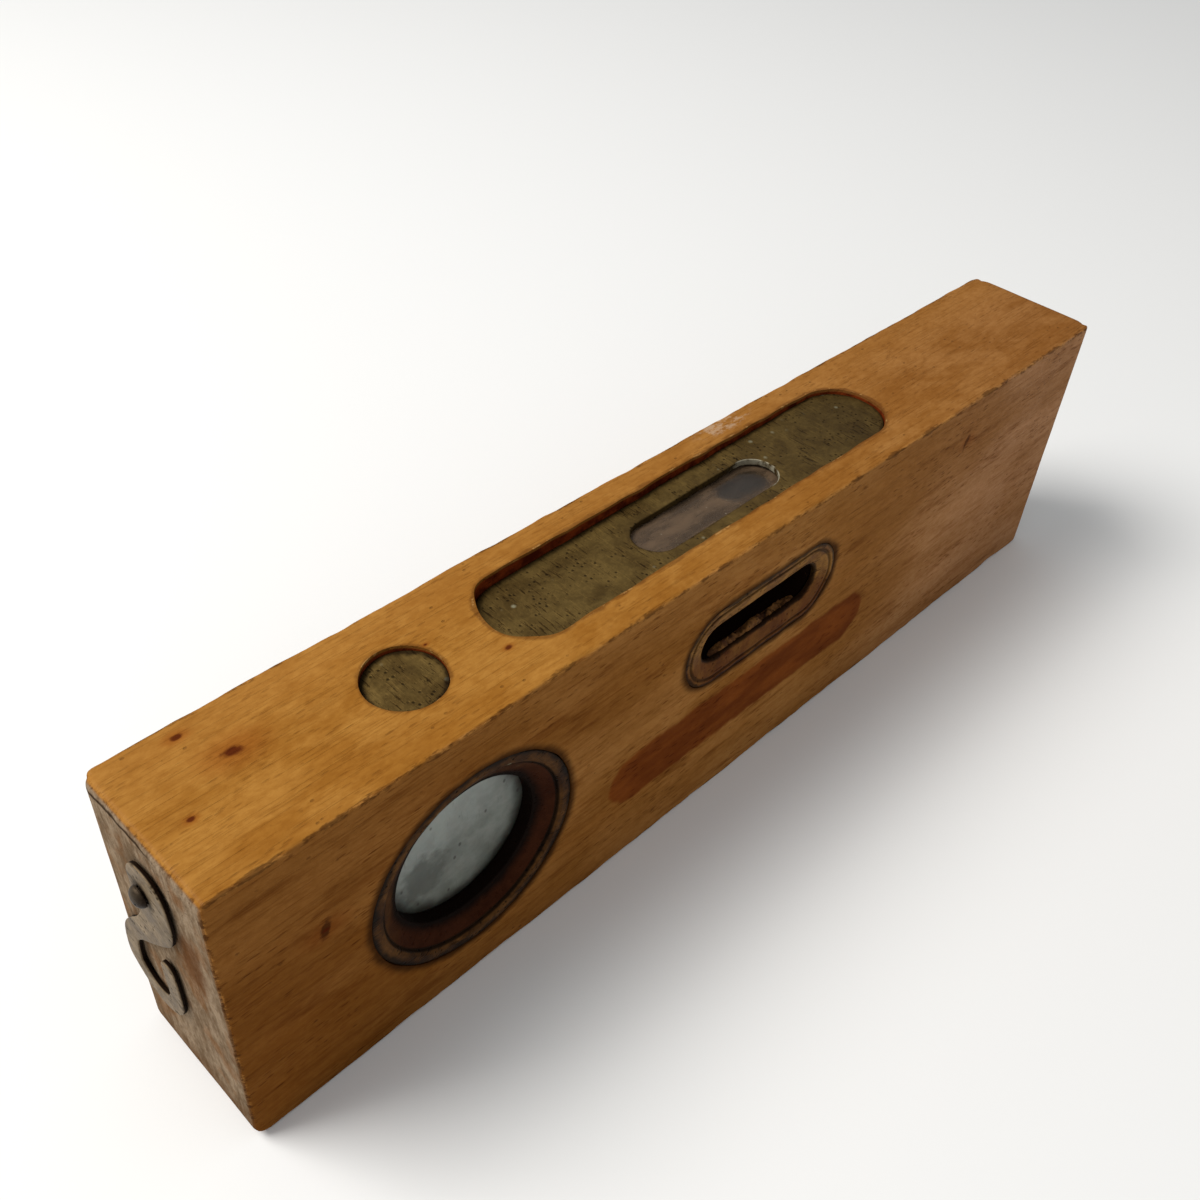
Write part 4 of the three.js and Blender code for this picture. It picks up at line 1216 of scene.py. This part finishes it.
def milky_pane():
    """White glass, grey-green where dust lies, with a painted highlight to the upper right, a darker patch at
    the lower left, darker towards the bottom, painted shade round its rim, scratches and a few dark specks.
    """
    p = Paint("milky_glass")
    u, v = p.x - ROUND_X, p.z - ROUND_Z
    clouds = p.noise(4.5, 311, 4.0, 0.65)
    colour = p.mix(p.step(clouds, 0.3, 0.7), tint(100, 104, 97), tint(130, 134, 126))
    # Painted highlight towards the upper right.
    colour = p.mix(p.step(v - u * 0.4, -4, 10) * 0.4, colour, tint(170, 176, 170))
    darker_patch = p.step(p.length(u + 6.0, v + 3.5) + (p.noise(3.0, 312, 4.0, 0.6) - 0.5) * 8, 5.5, 2.5)
    colour = p.mix(darker_patch * 0.65, colour, tint(62, 64, 58))
    colour = p.mix(p.step(v, 2, -12) * 0.2, colour, tint(98, 94, 80))
    # Painted shade round the rim.
    rim = p.step(p.length(u, v) + p.noise(2.5, 313) * 2.5, ROUND_OPENING - 1.4, ROUND_OPENING + 1.6)
    colour = p.mix(rim * 0.85, colour, tint(34, 28, 20))
    scratches = p.patches((0.3, 2.0, 3.0), 314, 0.62, 0.72, 3.0, 0.6)
    colour = p.mix(scratches * 0.3, colour, tint(84, 86, 80))
    colour = p.mix(p.spots((3.0, 3.0, 4.5), 315, 0.12, 0.05) * 0.8, colour, tint(52, 48, 40))
    rough = 0.24 + clouds * 0.22 + darker_patch * 0.2
    return p.finish(p.surface(
        Base_Color=colour, Roughness=rough, Normal=p.bump(clouds, 0.05),
        Subsurface_Weight=0.25, Subsurface_Scale=0.002, Coat_Weight=0.12, Coat_Roughness=0.12,
        Specular_IOR_Level=0.3))


def clear(name, colour, index, seed):
    """A clear body: glass, spirit or air. Faint streaks tint it, and its surface is not quite even."""
    p = Paint(name)
    darker = (*(0.93 * c for c in colour[:3]), 1.0)
    streaked = p.mix(p.patches((8.0, 3.0, 3.0), seed, 0.35, 0.65, 2.0), darker, colour)
    uneven = p.bump(p.noise(5.0, seed + 1, 1.0), 0.02)
    return p.finish(p.surface(
        Base_Color=streaked, Roughness=0.0, IOR=index, Transmission_Weight=1.0, Normal=uneven))


def yellowed_plaster(name, dark, light, seed):
    """Old plaster: clouds of two colours, small dark holes, and a rough skin."""
    p = Paint(name)
    clouds = p.noise(2.6, seed, 4.0, 0.65)
    colour = p.mix(p.step(clouds, 0.34, 0.66), dark, light)
    holes = p.spots(0.9, seed + 1, 0.26, 0.1)
    colour = p.mix(holes * 0.7, colour, tint(50, 34, 20))
    relief = clouds * 0.6 - holes * 0.5 + p.noise(0.5, seed + 2, 4.0, 0.7) * 0.3
    return p.finish(p.surface(
        Base_Color=colour, Roughness=0.85, Normal=p.bump(relief, 0.3), Specular_IOR_Level=0.2))


# ---------------------------------------------------------------- the camera, the floor and the lights

def place_camera():
    """Above the left end, a little in front, looking along the body and down at it, with a slight roll."""
    right = Vector((0.7038, -0.7082, 0.0562))
    up = Vector((0.4397, 0.4963, 0.7486))
    back = Vector((-0.5581, -0.5021, 0.6606))
    data = bpy.data.cameras.new("camera")
    data.lens = 37.877
    data.sensor_width = 36.0
    data.clip_start = 0.005
    data.clip_end = 20.0
    camera = bpy.data.objects.new("camera", data)
    turn = Matrix((right, up, back)).transposed().to_4x4()
    camera.matrix_world = Matrix.Translation((-0.13075, -0.0959, 0.1709)) @ turn
    bpy.context.scene.collection.objects.link(camera)
    bpy.context.scene.camera = camera


def lay_floor():
    """A wide square, a hair below the sole."""
    half_side = 3.0 / MM
    gap = 0.02
    corners = np.array([[-1, -1], [1, -1], [1, 1], [-1, 1]]) * half_side
    vertices = np.column_stack([corners, np.full(4, -gap)])
    mesh = bpy.data.meshes.new("floor")
    mesh.from_pydata((vertices * MM).tolist(), [], [(0, 1, 2, 3)])
    floor = bpy.data.objects.new("floor", mesh)
    bpy.context.scene.collection.objects.link(floor)
    p = Paint("pale_floor")
    mesh.materials.append(p.finish(p.surface(
        Base_Color=(0.86, 0.86, 0.85, 1), Roughness=0.9, Specular_IOR_Level=0.1)))


def soft_light(name, place, target, size, power, colour=(1.0, 1.0, 1.0)):
    """A square area light at a place, turned to its target."""
    data = bpy.data.lights.new(name, "AREA")
    data.shape = "SQUARE"
    data.size = size
    data.energy = power
    data.color = colour
    light = bpy.data.objects.new(name, data)
    light.location = place
    light.rotation_euler = (Vector(target) - Vector(place)).to_track_quat("-Z", "Y").to_euler()
    bpy.context.scene.collection.objects.link(light)


def light_stage():
    """A pale surround, a key light behind and above the left end, and a faint fill in front of it."""
    world = bpy.data.worlds.new("studio")
    world.use_nodes = True
    backdrop = world.node_tree.nodes["Background"]
    backdrop.inputs["Color"].default_value = (0.96, 0.98, 1.0, 1.0)
    backdrop.inputs["Strength"].default_value = 0.42
    bpy.context.scene.world = world
    soft_light("key", (-0.488, 0.396, 0.876), (-0.02, 0, 0.03), 0.54, 10.7, (1.0, 0.98, 0.95))
    soft_light("fill", (-0.5, -0.5, 0.35), (0, 0, 0.02), 0.4, 0.4)
    bpy.context.scene.view_settings.view_transform = "Standard"


# ---------------------------------------------------------------- putting it together

def dress(piece, material, slot, body, *nodes):
    """A finished piece: its material, the slot it is finished from (not used), the body that it moves
    with, and the nodes that it stands for."""
    piece.data.materials.clear()
    piece.data.materials.append(material)
    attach(piece, body)
    if nodes:
        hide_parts(*nodes)


def repaint(material, *nodes):
    """The CAD nodes that stay, with a new material."""
    for node in nodes:
        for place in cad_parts[node].material_slots:
            place.material = material


place_camera()
lay_floor()
light_stage()

BODY = "level_body"
dress(wooden_body(), varnished_wood(), "wood", BODY, "wooden_body")

OLIVE, PALE_OLIVE = tint(80, 62, 31), tint(102, 82, 44)
DEEP_BROWN, OLD_BRASS = tint(48, 28, 12), tint(86, 56, 26)
SIDE_BROWN, SIDE_BRASS = tint(96, 62, 30), tint(136, 96, 46)
RED_BROWN = tint(56, 26, 12)
plate_brass = tarnished(
    "plate_brass", OLIVE, PALE_OLIVE, 401, "y", plate_shade_and_darkening, dirt_and_shade_colour=tint(34, 24, 11), painted_glint=slot_painted_glint)
plug_brass = tarnished("plug_brass", OLIVE, PALE_OLIVE, 421, "y", plug_rim_darkening)
round_brass = tarnished(
    "round_bezel_brass", DEEP_BROWN, OLD_BRASS, 441, "x", round_grime, 0.25, RED_BROWN, round_black_shade)
side_brass = tarnished(
    "side_bezel_brass", SIDE_BROWN, SIDE_BRASS, 461, "x", side_grime, 0.2, tint(86, 40, 14), side_black_shade)
plaster = yellowed_plaster("yellowed_plaster", tint(50, 34, 20), tint(90, 66, 40), 501)
crumbs = yellowed_plaster("brown_crumbs", tint(64, 34, 14), tint(120, 80, 38), 511)
dress(top_plate(), plate_brass, "brass", BODY, "top_plate")
dress(plug(), plug_brass, "brass", BODY, "plumb_plug")
for side, seed in (("front", 71), ("back", 73)):
    dress(round_bezel(side), round_brass, "brass", BODY, "round_bezel_" + side)
    dress(side_bezel(side), side_brass, "brass", BODY, "side_bezel_" + side)
    dress(plaster_spill(side, seed), crumbs, "plaster", BODY)
dress(plaster_bed(), plaster, "plaster", BODY, "main_vial_bed")

steel = tarnished("hook_steel", tint(88, 73, 54), tint(126, 109, 86), 481, "y", hook_rust_and_shade, 0.3)
pin_steel = tarnished("pin_steel", tint(34, 26, 20), tint(70, 60, 48), 491, "y", None, 0.7)
dress(hanging_hook(), steel, "steel", "hook", "hanging_hook")
dress(hook_pin(), pin_steel, "steel", BODY, "hook_pin")

glass = clear("vial_glass", (0.93, 0.97, 0.94, 1.0), 1.5, 321)
spirit = clear("yellow_green_spirit", (0.8, 0.86, 0.42, 1.0), 1.36, 331)
air = clear("air_in_spirit", (1.0, 1.0, 1.0, 1.0), 1 / 1.36, 341)
sealing = yellowed_plaster("sealing_plaster", tint(80, 54, 34), tint(128, 96, 64), 521)
vials = vial_pieces()
for vial in ("main", "plumb"):
    dress(vials[vial + "_vial_tube"], glass, "vial_glass", BODY, vial + "_vial_tube")
    dress(vials[vial + "_vial_spirit"], spirit, "spirit", BODY, vial + "_vial_spirit")
    dress(vials[vial + "_vial_seal"], sealing, "plaster", BODY, vial + "_vial_seal")
    dress(vials[vial + "_vial_bubble"], air, "air", vial + "_bubble", vial + "_vial_bubble")

repaint(dusty_glass(), "slot_glass")
repaint(milky_pane(), "round_pane_front", "round_pane_back")
repaint(plaster, "plumb_bed_upper", "plumb_bed_lower")

bpy.context.view_layer.update()
